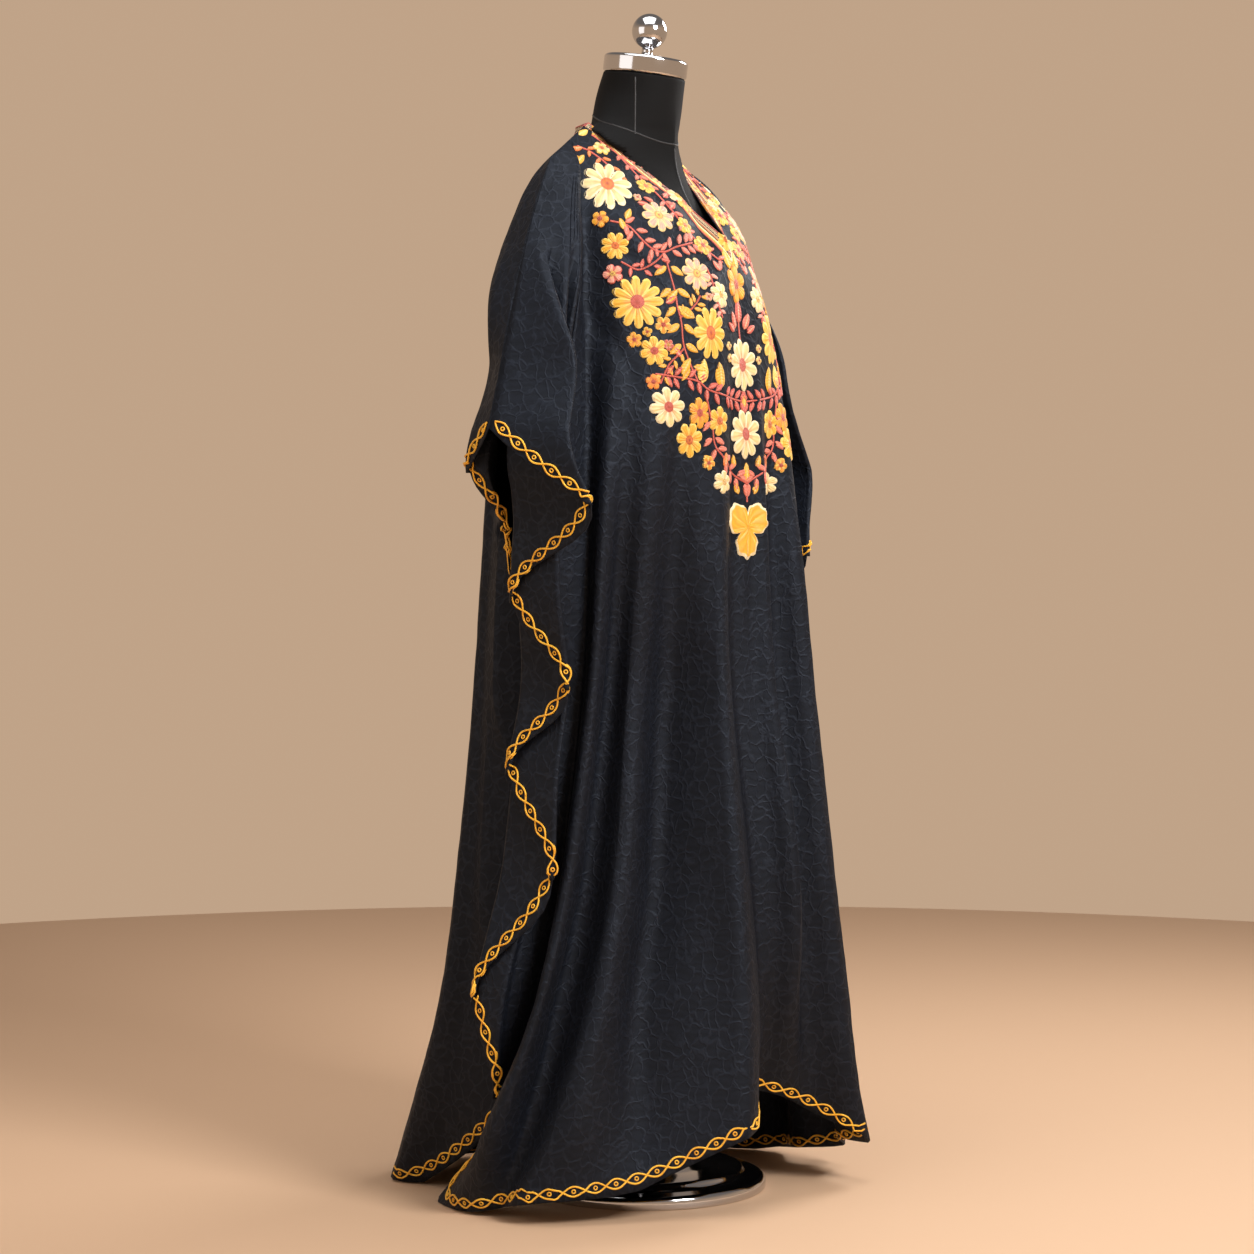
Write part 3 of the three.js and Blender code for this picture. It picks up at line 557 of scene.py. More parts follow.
# Creases that pull across the cloth: [right, up] of each end, half width and depth (a ridge is negative)
frontCreases = [
    {"ends": [[120, 1120], [118, 1000], [98, 720], [125, 450], [165, 280], [200, 90]],
     "width": 27, "depth": 10},
    {"ends": [[30, 1140], [26, 1000], [24, 720], [20, 450], [14, 180]], "width": 21, "depth": 7},
    {"ends": [[-30, 1180], [-30, 1000], [-28, 720], [-28, 450], [-42, 260]], "width": 14, "depth": -6},
    {"ends": [[184, 1060], [168, 720], [200, 450], [238, 280], [266, 120]], "width": 22, "depth": 8},
    {"ends": [[-62, 1080], [-62, 720], [-66, 450], [-84, 230]], "width": 24, "depth": 8},
    {"ends": [[-138, 1100], [-128, 720], [-140, 450], [-156, 220]], "width": 22, "depth": 7},
    {"ends": [[176, 1338], [96, 1180]], "width": 13, "depth": 3.2},
    {"ends": [[160, 1300], [120, 1090]], "width": 10, "depth": 2.2},
    {"ends": [[206, 1290], [172, 1120]], "width": 11, "depth": 3.0},
    {"ends": [[-172, 1344], [-98, 1170]], "width": 13, "depth": 3.2},
    {"ends": [[-162, 1296], [-118, 1100]], "width": 10, "depth": 2.4},
    {"ends": [[120, 1060], [146, 820]], "width": 14, "depth": 3.4},
    {"ends": [[92, 980], [108, 690]], "width": 11, "depth": -2.6},
    {"ends": [[44, 940], [36, 640]], "width": 14, "depth": 3.0},
    {"ends": [[-10, 1010], [-4, 760]], "width": 12, "depth": 2.0},
    {"ends": [[-60, 1020], [-78, 700]], "width": 15, "depth": 3.4},
    {"ends": [[-96, 960], [-116, 600]], "width": 12, "depth": -2.8},
    {"ends": [[190, 640], [226, 320]], "width": 13, "depth": 3.0},
    {"ends": [[140, 560], [176, 250]], "width": 12, "depth": -2.6},
    {"ends": [[96, 520], [118, 200]], "width": 14, "depth": 3.2},
    {"ends": [[20, 480], [10, 210]], "width": 13, "depth": 2.6},
    {"ends": [[-50, 470], [-66, 200]], "width": 12, "depth": -2.4},
    {"ends": [[-150, 640], [-190, 300]], "width": 14, "depth": 3.4},
    {"ends": [[-130, 400], [-150, 130]], "width": 12, "depth": 2.8},
    {"ends": [[232, 420], [262, 120]], "width": 11, "depth": 2.4},
]
backCreases = [
    {"ends": [[150, 1380], [60, 1250]], "width": 13, "depth": 2.8},
    {"ends": [[-150, 1384], [-58, 1262]], "width": 13, "depth": 3.0},
    {"ends": [[176, 1320], [150, 1120]], "width": 11, "depth": 2.6},
    {"ends": [[-178, 1310], [-148, 1100]], "width": 12, "depth": 2.6},
    {"ends": [[84, 1180], [96, 860]], "width": 14, "depth": 3.2},
    {"ends": [[-20, 1200], [-12, 900]], "width": 13, "depth": 2.4},
    {"ends": [[-88, 1140], [-104, 760]], "width": 13, "depth": -2.8},
    {"ends": [[30, 820], [26, 430]], "width": 15, "depth": 3.0},
    {"ends": [[120, 780], [134, 380]], "width": 12, "depth": -2.6},
    {"ends": [[-60, 700], [-64, 300]], "width": 14, "depth": 3.2},
    {"ends": [[-150, 620], [-160, 250]], "width": 12, "depth": 2.8},
    {"ends": [[70, 380], [76, 90]], "width": 12, "depth": 2.8},
]
crinkle = {"broad": 2.2, "broadSize": 95, "fine": 0.75, "fineSize": 17, "calmTop": 60}


def creaseDepth(creases, place):
    right, up = -place.x / mm, place.z / mm
    total = 0
    for crease in creases:
        line = crease["ends"]
        if abs(right - line[0][0]) > 140 or not line[-1][1] - 40 < up < line[0][1] + 40:
            continue
        best, along = 9, 0
        for k, ((x0, z0), (x1, z1)) in enumerate(zip(line, line[1:])):
            dx, dz = x1 - x0, z1 - z0
            t = min(1, max(0, ((right - x0) * dx + (up - z0) * dz) / (dx * dx + dz * dz)))
            off = math.hypot(right - x0 - dx * t, up - z0 - dz * t) / crease["width"]
            if off < best:
                best, along = off, (k + t) / (len(line) - 1)
        if best < 1:
            total += crease["depth"] * (1 - best * best)**2 * math.sin(math.pi * (0.08 + 0.86 * along))
    return total * mm


def gridNormals(grid):
    rows = []
    for j, row in enumerate(grid):
        above, below = grid[max(0, j - 1)], grid[min(len(grid) - 1, j + 1)]
        ways = [row[min(len(row) - 1, i + 1)] - row[max(0, i - 1)] for i in range(len(row))]
        rows.append([(low - high).cross(way).normalized() for low, high, way in zip(below, above, ways)])
    return rows


def crumpled(grid, creases, seed):
    # The listed creases and the cloth's uneven hang, both fading out at the seams and the neckline
    c = crinkle
    rows = []
    drift = Vector((seed * 7.3, seed * 2.9, seed * 5.1))
    for j, (row, normals) in enumerate(zip(grid, gridNormals(grid))):
        moved = []
        for i, (place, normal) in enumerate(zip(row, normals)):
            fade = ease((grid[0][i] - place).length / (c["calmTop"] * mm))
            q = place / mm + drift * 10
            wide = c["broadSize"]
            broad = noise.noise(Vector((q.x / wide, q.y / wide, q.z / wide / 2.6)))
            fine = noise.noise(Vector((q.x, q.y, q.z / 1.8)) / c["fineSize"])
            amount = (c["broad"] * broad + c["fine"] * fine) * mm - creaseDepth(creases, place)
            shifted = place + normal * amount * fade
            shifted.z = max(shifted.z, 1.2 * mm)
            moved.append(shifted)
        rows.append(moved)
    return rows


def smoothMesh(name, points, faces, stitch=None):
    # A mesh with smooth faces, and with the stitches' UV where it is given for each point
    mesh = bpy.data.meshes.new(name)
    mesh.from_pydata(points, [], faces)
    mesh.polygons.foreach_set("use_smooth", [True] * len(mesh.polygons))
    if stitch:
        layer = mesh.uv_layers.new(name="stitch")
        for loop in mesh.loops:
            layer.data[loop.index].uv = stitch[loop.vertex_index]
    return mesh


def gridMesh(name, grid):
    points = [place for row in grid for place in row]
    width = len(grid[0])
    faces = []
    for j in range(len(grid) - 1):
        for i in range(width - 1):
            a = j * width + i
            faces.append((a, a + width, a + width + 1, a + 1))
    return smoothMesh(name, points, faces)


def addPiece(name, mesh, finish):
    piece = bpy.data.objects.new(name, mesh)
    bpy.context.scene.collection.objects.link(piece)
    mesh.materials.clear()
    mesh.materials.append(finish)
    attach(piece, "root")
    return piece


def solid(piece, thickness, offset=0.0):
    shell = piece.modifiers.new("cloth wall", "SOLIDIFY")
    shell.thickness = thickness
    shell.offset = offset
    shell.use_even_offset = False
    return piece


def surfaceOf(grid):
    mesh = gridMesh("surface", grid)
    tree = BVHTree.FromPolygons([v.co for v in mesh.vertices], [tuple(p.vertices) for p in mesh.polygons])
    bpy.data.meshes.remove(mesh)
    return tree


frontGrid, frontNeck = panelGrid(panelColumns(True))
backGrid, backNeck = panelGrid(panelColumns(False))
frontGrid = crumpled(frontGrid, frontCreases, 3)
backGrid = crumpled(backGrid, backCreases, 11)
frontSurface, backSurface = surfaceOf(frontGrid), surfaceOf(backGrid)
frontCloth = solid(addPiece("frontCloth", gridMesh("frontCloth", frontGrid), clothFinish),
                   cloth["thickness"] * mm)
backCloth = solid(addPiece("backCloth", gridMesh("backCloth", backGrid), clothFinish),
                  cloth["thickness"] * mm)
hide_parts("front_panel")
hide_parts("back_panel")
print("cloth hung", len(frontCloth.data.polygons), len(backCloth.data.polygons))


# The stand and form
def latheMesh(name, profile, sides, middle=(0, 0, 0), tilt=0.0):
    # profile is [radius, up] from the axis at the bottom to the axis at the top, in millimetres
    points, faces = [], []
    turn = Matrix.Translation(middle) @ Matrix.Rotation(tilt, 4, "X")
    for radius, up in profile[1:-1]:
        for k in range(sides):
            angle = 2 * math.pi * k / sides
            points.append(turn @ (Vector((radius * math.cos(angle), radius * math.sin(angle), up)) * mm))
    bottom, top = len(points), len(points) + 1
    points += [turn @ Vector((0, 0, profile[0][1] * mm)), turn @ Vector((0, 0, profile[-1][1] * mm))]
    rings = len(profile) - 2
    for r in range(rings - 1):
        for k in range(sides):
            n = (k + 1) % sides
            faces.append((r * sides + k, r * sides + n, (r + 1) * sides + n, (r + 1) * sides + k))
    for k in range(sides):
        n = (k + 1) % sides
        faces += [(bottom, n, k), (top, (rings - 1) * sides + k, (rings - 1) * sides + n)]
    return smoothMesh(name, points, faces)


def softEdge(profile, size, steps=3):
    # Rounds the corners of a profile, as polished metal has them
    out = [profile[0]]
    for a, b, c in zip(profile, profile[1:], profile[2:]):
        before, after = Vector(a) - Vector(b), Vector(c) - Vector(b)
        cut = min(size, before.length * 0.45, after.length * 0.45)
        start, end = Vector(b) + before.normalized() * cut, Vector(b) + after.normalized() * cut
        for s in range(steps + 1):
            t = s / steps
            out.append(list(start.lerp(Vector(b), t).lerp(Vector(b).lerp(end, t), t)))
    return out + [profile[-1]]


stand = {
    "base": [[0, 0], [170, 0], [170, 12], [166, 18], [140, 21], [136, 30], [96, 34], [52, 44], [32, 62],
             [26, 84], [0, 84]],
    "poleRadius": 16, "capRadius": 59.5, "capHeight": 26, "capTilt": 8, "capCenter": [0, -1, 1563],
    "ballRadius": 25, "stemRadius": 8, "stemHeight": 13, "gap": 0.3,
}


def buildStand():
    s = stand
    base = addPiece("standBase", latheMesh("standBase", softEdge(s["base"], 3.5), 160), chrome)
    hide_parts("base")
    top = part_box("pole")[1][2] / mm
    bottom = s["base"][-1][1] + s["gap"]
    tube = [[0, bottom], [s["poleRadius"], bottom], [s["poleRadius"], top], [0, top]]
    pole = addPiece("standPole", latheMesh("standPole", softEdge(tube, 1), 64), chrome)
    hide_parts("pole")
    capPlace, tilt = toVector(s["capCenter"]), math.radians(s["capTilt"])
    r, h = s["capRadius"], s["capHeight"]
    disc = [[0, 0], [r - 3, 0], [r, 3], [r, h - 3], [r - 3, h], [0, h]]
    discMesh = latheMesh("neckDisc", softEdge(disc, 1.6), 128, capPlace, tilt)
    cap = addPiece("neckDisc", discMesh, chrome)
    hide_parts("neck_cap")
    foot = h + s["gap"]
    middle = foot + s["stemHeight"] + math.sqrt(s["ballRadius"]**2 - s["stemRadius"]**2)
    first = math.asin(s["stemRadius"] / s["ballRadius"])
    stem = s["stemRadius"]
    ball = [[0, foot], [stem + 3, foot], [stem + 3, foot + 2], [stem, foot + 4]]
    steps = 28
    for k in range(steps):
        angle = first + (math.pi - first) * k / steps
        ball.append([s["ballRadius"] * math.sin(angle), middle - s["ballRadius"] * math.cos(angle)])
    ball.append([0, middle + s["ballRadius"]])
    finial = addPiece("finialBall", latheMesh("finialBall", ball, 64, capPlace, tilt), chrome)
    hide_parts("finial")


buildStand()
torsoRings = [
    {"up": 772, "half": 128, "middle": 0, "front": 84, "back": -84, "power": 2.3},
    {"up": 784, "half": 146, "middle": 0, "front": 96, "back": -96, "power": 2.3},
    {"up": 880, "half": 152, "middle": 0, "front": 100, "back": -100, "power": 2.3},
    {"up": 1010, "half": 126, "middle": 0, "front": 92, "back": -82, "power": 2.3},
    {"up": 1110, "half": 142, "middle": 0, "front": 112, "back": -90, "power": 2.3},
    {"up": 1200, "half": 158, "middle": 0, "front": 124, "back": -94, "power": 2.3},
    {"up": 1290, "half": 164, "middle": -10, "front": 116, "back": -96, "power": 2.2},
    {"up": 1360, "half": 172, "middle": -24, "front": 84, "back": -94, "power": 1.8},
    {"up": 1400, "half": 172, "middle": -28, "front": 63, "back": -88, "power": 1.35},
    {"up": 1430, "half": 172, "middle": -31, "front": 53, "back": -85, "power": 1.1},
    {"up": 1455, "half": 142, "middle": -32, "front": 50, "back": -82, "power": 1.1},
    {"up": 1478, "half": 96, "middle": -30, "front": 50, "back": -81, "power": 1.3},
    {"up": 1496, "half": 72, "middle": -22, "front": 51, "back": -80, "power": 1.6},
    {"up": 1530, "half": 58, "middle": -10, "front": 53, "back": -72, "power": 2},
    {"up": 1562.5, "half": 57.5, "middle": -1, "front": 56.5, "back": -58.5, "power": 2},
]
form = {"sides": 96, "perRing": 7, "under": 2.6, "leanFrom": 1490, "leanOver": 72}


def buildForm():
    # A smooth stack of rings that stops just inside the cloth
    rings = []
    for i in range(len(torsoRings) - 1):
        rows = [torsoRings[min(len(torsoRings) - 1, max(0, k))] for k in (i - 1, i, i + 1, i + 2)]
        for s in range(form["perRing"]):
            t, ring = s / form["perRing"], {}
            for key in rows[1]:
                a, b, c, d = (row[key] for row in rows)
                ring[key] = 0.5 * (2 * b + (c - a) * t + (2 * a - 5 * b + 4 * c - d) * t * t
                                   + (3 * b - a - 3 * c + d) * t**3)
            rings.append(ring)
    rings.append(torsoRings[-1])
    lean = math.tan(math.radians(stand["capTilt"]))
    points, faces = [], []
    sides = form["sides"]
    for ring in rings:
        share = ease((ring["up"] - form["leanFrom"]) / form["leanOver"])
        for k in range(sides):
            angle = 2 * math.pi * k / sides
            c, s = math.cos(angle), math.sin(angle)
            reach = ring["front"] - ring["middle"] if s > 0 else ring["middle"] - ring["back"]
            ahead = ring["middle"] + reach * math.copysign(abs(s)**(2 / ring["power"]), s)
            across = ring["half"] * math.copysign(abs(c)**(2 / ring["power"]), c)
            up = ring["up"] - lean * share * (ahead - ring["middle"])
            place, middle = toVector([across, ahead, up]), toVector([0, ring["middle"], up])
            way = place - middle
            for sheet in (frontSurface, backSurface):
                hit = sheet.ray_cast(middle, way.normalized(), way.length + 0.04)
                if hit[0] is not None and hit[3] - form["under"] * mm < (place - middle).length:
                    place = middle + way.normalized() * (hit[3] - form["under"] * mm)
            points.append(place)
    for r in range(len(rings) - 1):
        for k in range(sides):
            n = (k + 1) % sides
            faces.append((r * sides + k, r * sides + n, (r + 1) * sides + n, (r + 1) * sides + k))
    faces += [tuple(reversed(range(sides))), tuple((len(rings) - 1) * sides + k for k in range(sides))]
    mesh = smoothMesh("dressForm", points, faces)
    mesh.polygons.foreach_set("use_smooth", [len(p.vertices) == 4 for p in mesh.polygons])
    piece = addPiece("dressForm", mesh, formFinish)
    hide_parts("torso")
    return piece


dressForm = buildForm()
seams = {"collar": 1488, "drop": 25, "reach": 57, "width": 1.2, "height": 0.7, "front": (1458, 1290),
         "neck": (1474, 1560), "neckAngle": 62}


def formSeams():
    # Raised seam lines on the form: the collar seam, the middle front, and one on each side of the neck,
    # coloured lighter than the form as a painted highlight
    surface = BVHTree.FromObject(dressForm, bpy.context.evaluated_depsgraph_get())
    points, faces = [], []

    def onForm(angle, up):
        way = toVector([math.cos(angle), math.sin(angle), 0]) / mm
        hit = surface.ray_cast(toVector([0, -10, up]) + way.normalized() * 0.4, -way.normalized())
        return hit[0], hit[1]

    def line(path):
        spots = [onForm(*step) for step in path]
        start = len(points)
        for i, (spot, normal) in enumerate(spots):
            along = (spots[min(len(spots) - 1, i + 1)][0] - spots[max(0, i - 1)][0]).normalized()
            out = along.cross(normal).normalized()
            for side, rise in ((-1, -0.2), (-0.4, 1.0), (0.4, 1.0), (1, -0.2)):
                points.append(spot + (out * side * seams["width"] + normal * rise * seams["height"]) * mm)
        for i in range(len(spots) - 1):
            for k in range(3):
                a = start + i * 4 + k
                faces.append((a, a + 1, a + 5, a + 4))

    s = seams
    line([(a, s["collar"] - s["drop"] * math.sin(a)) for a in (2 * math.pi * k / 90 for k in range(91))])
    line([(math.pi / 2, s["front"][0] + (s["front"][1] - s["front"][0]) * k / 20) for k in range(21)])
    for side in (1, -1):
        angle = math.pi / 2 + side * math.radians(s["neckAngle"])
        line([(angle, s["neck"][0] + (s["neck"][1] - s["neck"][0]) * k / 12) for k in range(13)])
    mesh = smoothMesh("formSeams", points, faces)
    for polygon in mesh.polygons:
        if polygon.normal.dot(polygon.center - Vector((0, 0, polygon.center.z))) < 0:
            polygon.flip()
    return addPiece("formSeams", mesh, seamHighlightFinish())


formSeams()
print("stand built")


# The gold chain along the free edges, as two crossing strands with a ring in each eye
chain = {"pitch": 29, "height": 13, "cord": 2.7, "lift": 0.5, "ring": 2.4, "inset": 12, "pull": 0.6,
         "perEye": 12}


def treeBuilder(name, sizes):
    # A geometry tree with a mesh in and out and one named input for each size
    tree = bpy.data.node_groups.new(name, "GeometryNodeTree")
    tree.interface.new_socket("Geometry", in_out="INPUT", socket_type="NodeSocketGeometry")
    tree.interface.new_socket("Geometry", in_out="OUTPUT", socket_type="NodeSocketGeometry")
    for size in sizes:
        tree.interface.new_socket(size, in_out="INPUT", socket_type="NodeSocketFloat")
    source, sink = tree.nodes.new("NodeGroupInput"), tree.nodes.new("NodeGroupOutput")

    def add(kind, settings=None, inputs=None, output=0):
        made = tree.nodes.new(kind)
        for key, value in (settings or {}).items():
            setattr(made, key, value)
        for key, value in (inputs or {}).items():
            if isinstance(value, bpy.types.NodeSocket):
                tree.links.new(value, made.inputs[key])
            else:
                made.inputs[key].default_value = value
        return made.outputs[output]

    return tree, source, sink, add


def chainTree():
    # The path's points carry their run along it in pitches, the way across it and the way out of the cloth
    tree, source, sink, add = treeBuilder("chainTrim", ["height", "cord", "lift", "ring"])
    size = source.outputs
    maths = lambda operation, a, b=0.0: add("ShaderNodeMath", {"operation": operation}, {0: a, 1: b})
    scaled = lambda vector, by: add("ShaderNodeVectorMath", {"operation": "SCALE"}, {0: vector, "Scale": by})
    both = lambda a, b: add("ShaderNodeVectorMath", {"operation": "ADD"}, {0: a, 1: b})
    named = lambda name, kind="FLOAT_VECTOR": add("GeometryNodeInputNamedAttribute", {"data_type": kind},
                                                  {"Name": name})
    phase = maths("MULTIPLY", named("run", "FLOAT"), math.pi)
    swing = maths("MULTIPLY", maths("SINE", phase), maths("MULTIPLY", size["height"], 0.5))
    rise = maths("MULTIPLY", maths("COSINE", phase), size["lift"])
    section = add("GeometryNodeCurvePrimitiveCircle", None,
                  {"Resolution": 6, "Radius": maths("MULTIPLY", size["cord"], 0.5)})
    thin = add("GeometryNodeCurvePrimitiveCircle", None,
               {"Resolution": 4, "Radius": maths("MULTIPLY", size["cord"], 0.38)})
    path = add("GeometryNodeMeshToCurve", None, {"Mesh": size["Geometry"]})
    join = tree.nodes.new("GeometryNodeJoinGeometry")
    for way in (1.0, -1.0):
        offset = both(scaled(named("across"), maths("MULTIPLY", swing, way)),
                      scaled(named("facing"), maths("MULTIPLY", rise, way)))
        strand = add("GeometryNodeSetPosition", None, {"Geometry": path, "Offset": offset})
        tree.links.new(add("GeometryNodeCurveToMesh", None, {"Curve": strand, "Profile Curve": section}),
                       join.inputs[0])
    ring = add("GeometryNodeCurveToMesh", None, {"Profile Curve": thin, "Curve": add(
        "GeometryNodeCurvePrimitiveCircle", None, {"Resolution": 10, "Radius": size["ring"]})})
    upright = add("FunctionNodeAlignRotationToVector", {"axis": "Z"}, {"Vector": named("facing")})
    rings = add("GeometryNodeInstanceOnPoints", None,
                {"Points": size["Geometry"], "Selection": named("eye", "BOOLEAN"), "Instance": ring,
                 "Rotation": upright})
    tree.links.new(rings, join.inputs[0])
    plain = add("GeometryNodeRealizeInstances", None, {"Geometry": join.outputs[0]})
    final = add("GeometryNodeSetMaterial", None, {"Geometry": plain, "Material": goldCord})
    tree.links.new(final, sink.inputs[0])
    return tree


def evenly(path, step, multiple):
    # Points an equal step apart along a path, a whole multiple of steps in all
    lengths = [0.0]
    for a, b in zip(path, path[1:]):
        lengths.append(lengths[-1] + (b - a).length)
    count = multiple * max(1, round(lengths[-1] / step / multiple))
    out, k = [], 0
    for n in range(count + 1):
        want = min(n * lengths[-1] / count, lengths[-1] * 0.999999)
        while lengths[k + 1] < want:
            k += 1
        part = (want - lengths[k]) / max(1e-9, lengths[k + 1] - lengths[k])
        out.append(path[k].lerp(path[k + 1], part))
    return out


def softened(values, times):
    for _ in range(times):
        between = [(a + 2 * b + c) / 4 for a, b, c in zip(values, values[1:], values[2:])]
        values = [values[0], *between, values[-1]]
    return values


def insetPath(grid, amount):
    # A line on the cloth, one inset from its free edge
    edge, normals = grid[-1], gridNormals(grid)[-1]
    path = []
    for i, place in enumerate(edge):
        along = (edge[min(len(edge) - 1, i + 1)] - edge[max(0, i - 1)]).normalized()
        inward = normals[i].cross(along).normalized()
        if inward.dot(grid[-6][i] - place) < 0:
            inward = -inward
        path.append(place + inward * amount)
    return softened(path, 4)


def chainAlong(name, grid, surface):
    c = chain
    perEye = c["perEye"]
    line = softened(evenly(insetPath(grid, c["inset"] * mm), 3 * mm, 1), 24)
    steps = evenly(line, c["pitch"] * mm / perEye, perEye)
    found = [surface.find_nearest(place) for place in steps]
    print(name, "follows", round(sum((b - a).length for a, b in zip(steps, steps[1:])), 2), "m of edge")
    ways = [(b - a).normalized() for a, b in zip([steps[0]] + steps, steps[1:] + [steps[-1]])]
    ways[0], ways[-1] = ways[1], ways[-2]
    normals = softened([hit[1] for hit in found], 2)
    out = (cloth["thickness"] / 2 + c["cord"] / 2 * c["pull"]) * mm
    points, edges, across, facing = [], [], [], []
    for side in (1, -1):
        for i, hit in enumerate(found):
            normal = normals[i].normalized()
            if i:
                edges.append((len(points) - 1, len(points)))
            points.append(hit[0] + normal * side * out)
            across.append(normal.cross(ways[i]).normalized())
            facing.append(normal * side)
    mesh = bpy.data.meshes.new(name)
    mesh.from_pydata(points, edges, [])
    for label, values in (("across", across), ("facing", facing)):
        attribute = mesh.attributes.new(label, "FLOAT_VECTOR", "POINT")
        attribute.data.foreach_set("vector", [x for v in values for x in v])
    count = len(found)
    mesh.attributes.new("run", "FLOAT", "POINT").data.foreach_set(
        "value", [i / perEye for i in range(count)] * 2)
    mesh.attributes.new("eye", "BOOLEAN", "POINT").data.foreach_set(
        "value", [i % perEye == perEye // 2 for i in range(count)] * 2)
    piece = bpy.data.objects.new(name, mesh)
    bpy.context.scene.collection.objects.link(piece)
    tree = chainTree()
    made = piece.modifiers.new("chain", "NODES")
    made.node_group = tree
    for socket in tree.interface.items_tree:
        if socket.in_out == "INPUT" and socket.name in c:
            made[socket.identifier] = c[socket.name] * mm
    final = bpy.data.meshes.new_from_object(piece.evaluated_get(bpy.context.evaluated_depsgraph_get()))
    bpy.data.objects.remove(piece)
    final.polygons.foreach_set("use_smooth", [True] * len(final.polygons))
    for label in ("across", "facing", "run", "eye"):
        if label in final.attributes:
            final.attributes.remove(final.attributes[label])
    return addPiece(name, final, goldCord)


frontChain = chainAlong("frontChain", frontGrid, frontSurface)
backChain = chainAlong("backChain", backGrid, backSurface)
print("chain sewn", len(frontChain.data.polygons), len(backChain.data.polygons))


# The braid along the neckline
braid = {"width": 12, "lift": 0.5, "back": 0.9, "samples": 24, "coralCord": 1.3, "goldCord": 0.8,
         "chain": 0.7}


def braidFinish():
    f = Finish("neckBraid")
    u, v, _ = f.split(f.uv("stitch"))
    wave = (u * 620).math("SINE") * 0.075
    near = lambda middle, half: (v - middle).math("ABSOLUTE") < half
    chainA = (v - 0.42 - wave).math("ABSOLUTE") < 0.035
    chainB = (v - 0.42 + wave).math("ABSOLUTE") < 0.035
    dark, coral = (0.035, 0.012, 0.010), (0.50, 0.085, 0.060)
    cream, gold = (0.86, 0.66, 0.36), (0.62, 0.30, 0.05)
    colour = f.mixColour(near(0.07, 0.08), dark, coral)
    colour = f.mixColour(near(0.19, 0.03), colour, cream)
    colour = f.mixColour(chainA.math("MAXIMUM", chainB), colour, cream)
    colour = f.mixColour(near(0.66, 0.035), colour, cream)
    colour = f.mixColour(near(0.79, 0.07), colour, coral)
    colour = f.mixColour(near(0.93, 0.055), colour, gold)
    twist = (u * 2600 + v * 30).math("SINE") * 0.5 + 0.5
    colour = f.mixColour(twist * 0.35, colour, (0.02, 0.01, 0.008))
    return f.set(Base_Color=colour, Roughness=0.5 + twist * 0.15, Sheen_Weight=0.3,
                 Normal=f.bump(twist, 0.7, 0.0006))


neckBraidFinish = braidFinish()


def neckSteps(grid, neck):
    # Along the neckline: place, normal, the way onto the cloth, how much a corner stretches it, and the run
    first, last = neck
    edge = grid[0][first:last + 1]
    normals = gridNormals(grid)[2][first:last + 1]
    steps, run = [], 0.0
    for i, place in enumerate(edge):
        before, after = edge[max(0, i - 1)], edge[min(len(edge) - 1, i + 1)]
        run += (place - before).length
        ways = [w.normalized() for w in (place - before, after - place) if w.length > 1e-7]
        inwards = []
        for way in ways:
            inward = normals[i].cross(way).normalized()
            inwards.append(inward if inward.z < 0 else -inward)
        inward = sum(inwards, Vector()).normalized()
        steps.append((place, normals[i], inward, 1 / max(0.45, inward.dot(inwards[0])), run))
    return steps


def neckBraidMesh(name, grid, neck, surface):
    # Rows across the braid, each a constant distance from the neckline, on the cloth
    b = braid
    points, uvs, faces = [], [], []
    steps = neckSteps(grid, neck)
    for place, along, inward, mitre, length in steps:
        for k in range(b["samples"] + 1):
            v = k / b["samples"]
            spot, normal, _, _ = surface.find_nearest(place + inward * (v * b["width"] * mm * mitre))
            if normal.dot(along) < 0:
                normal = -normal
            cord = lambda middle, half: max(0, 1 - ((v - middle) / half)**2)**0.5
            rise = b["lift"] + b["coralCord"] * cord(0.07, 0.09) + b["goldCord"] * cord(0.93, 0.07)
            rise += b["chain"] * cord(0.42, 0.14) + b["chain"] * cord(0.79, 0.08)
            points.append(spot + normal * (cloth["thickness"] / 2 + rise) * mm)
            uvs.append((length, v))
    width = b["samples"] + 1
    for i in range(len(steps) - 1):
        for k in range(b["samples"]):
            a = i * width + k
            faces.append((a, a + 1, a + width + 1, a + width))
    mesh = smoothMesh(name, points, faces, uvs)
    middle = mesh.polygons[len(mesh.polygons) // 2]
    if middle.normal.dot(steps[len(steps) // 2][1]) < 0:
        mesh.flip_normals()
    return mesh


frontBraidMesh = neckBraidMesh("frontNeckBraid", frontGrid, frontNeck, frontSurface)
backBraidMesh = neckBraidMesh("backNeckBraid", backGrid, backNeck, backSurface)
frontBraid = addPiece("frontNeckBraid", frontBraidMesh, neckBraidFinish)
backBraid = addPiece("backNeckBraid", backBraidMesh, neckBraidFinish)
solid(frontBraid, braid["back"] * mm, -1)
solid(backBraid, braid["back"] * mm, -1)
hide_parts("neck_band_front")
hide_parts("neck_band_back")
print("neck braid sewn")


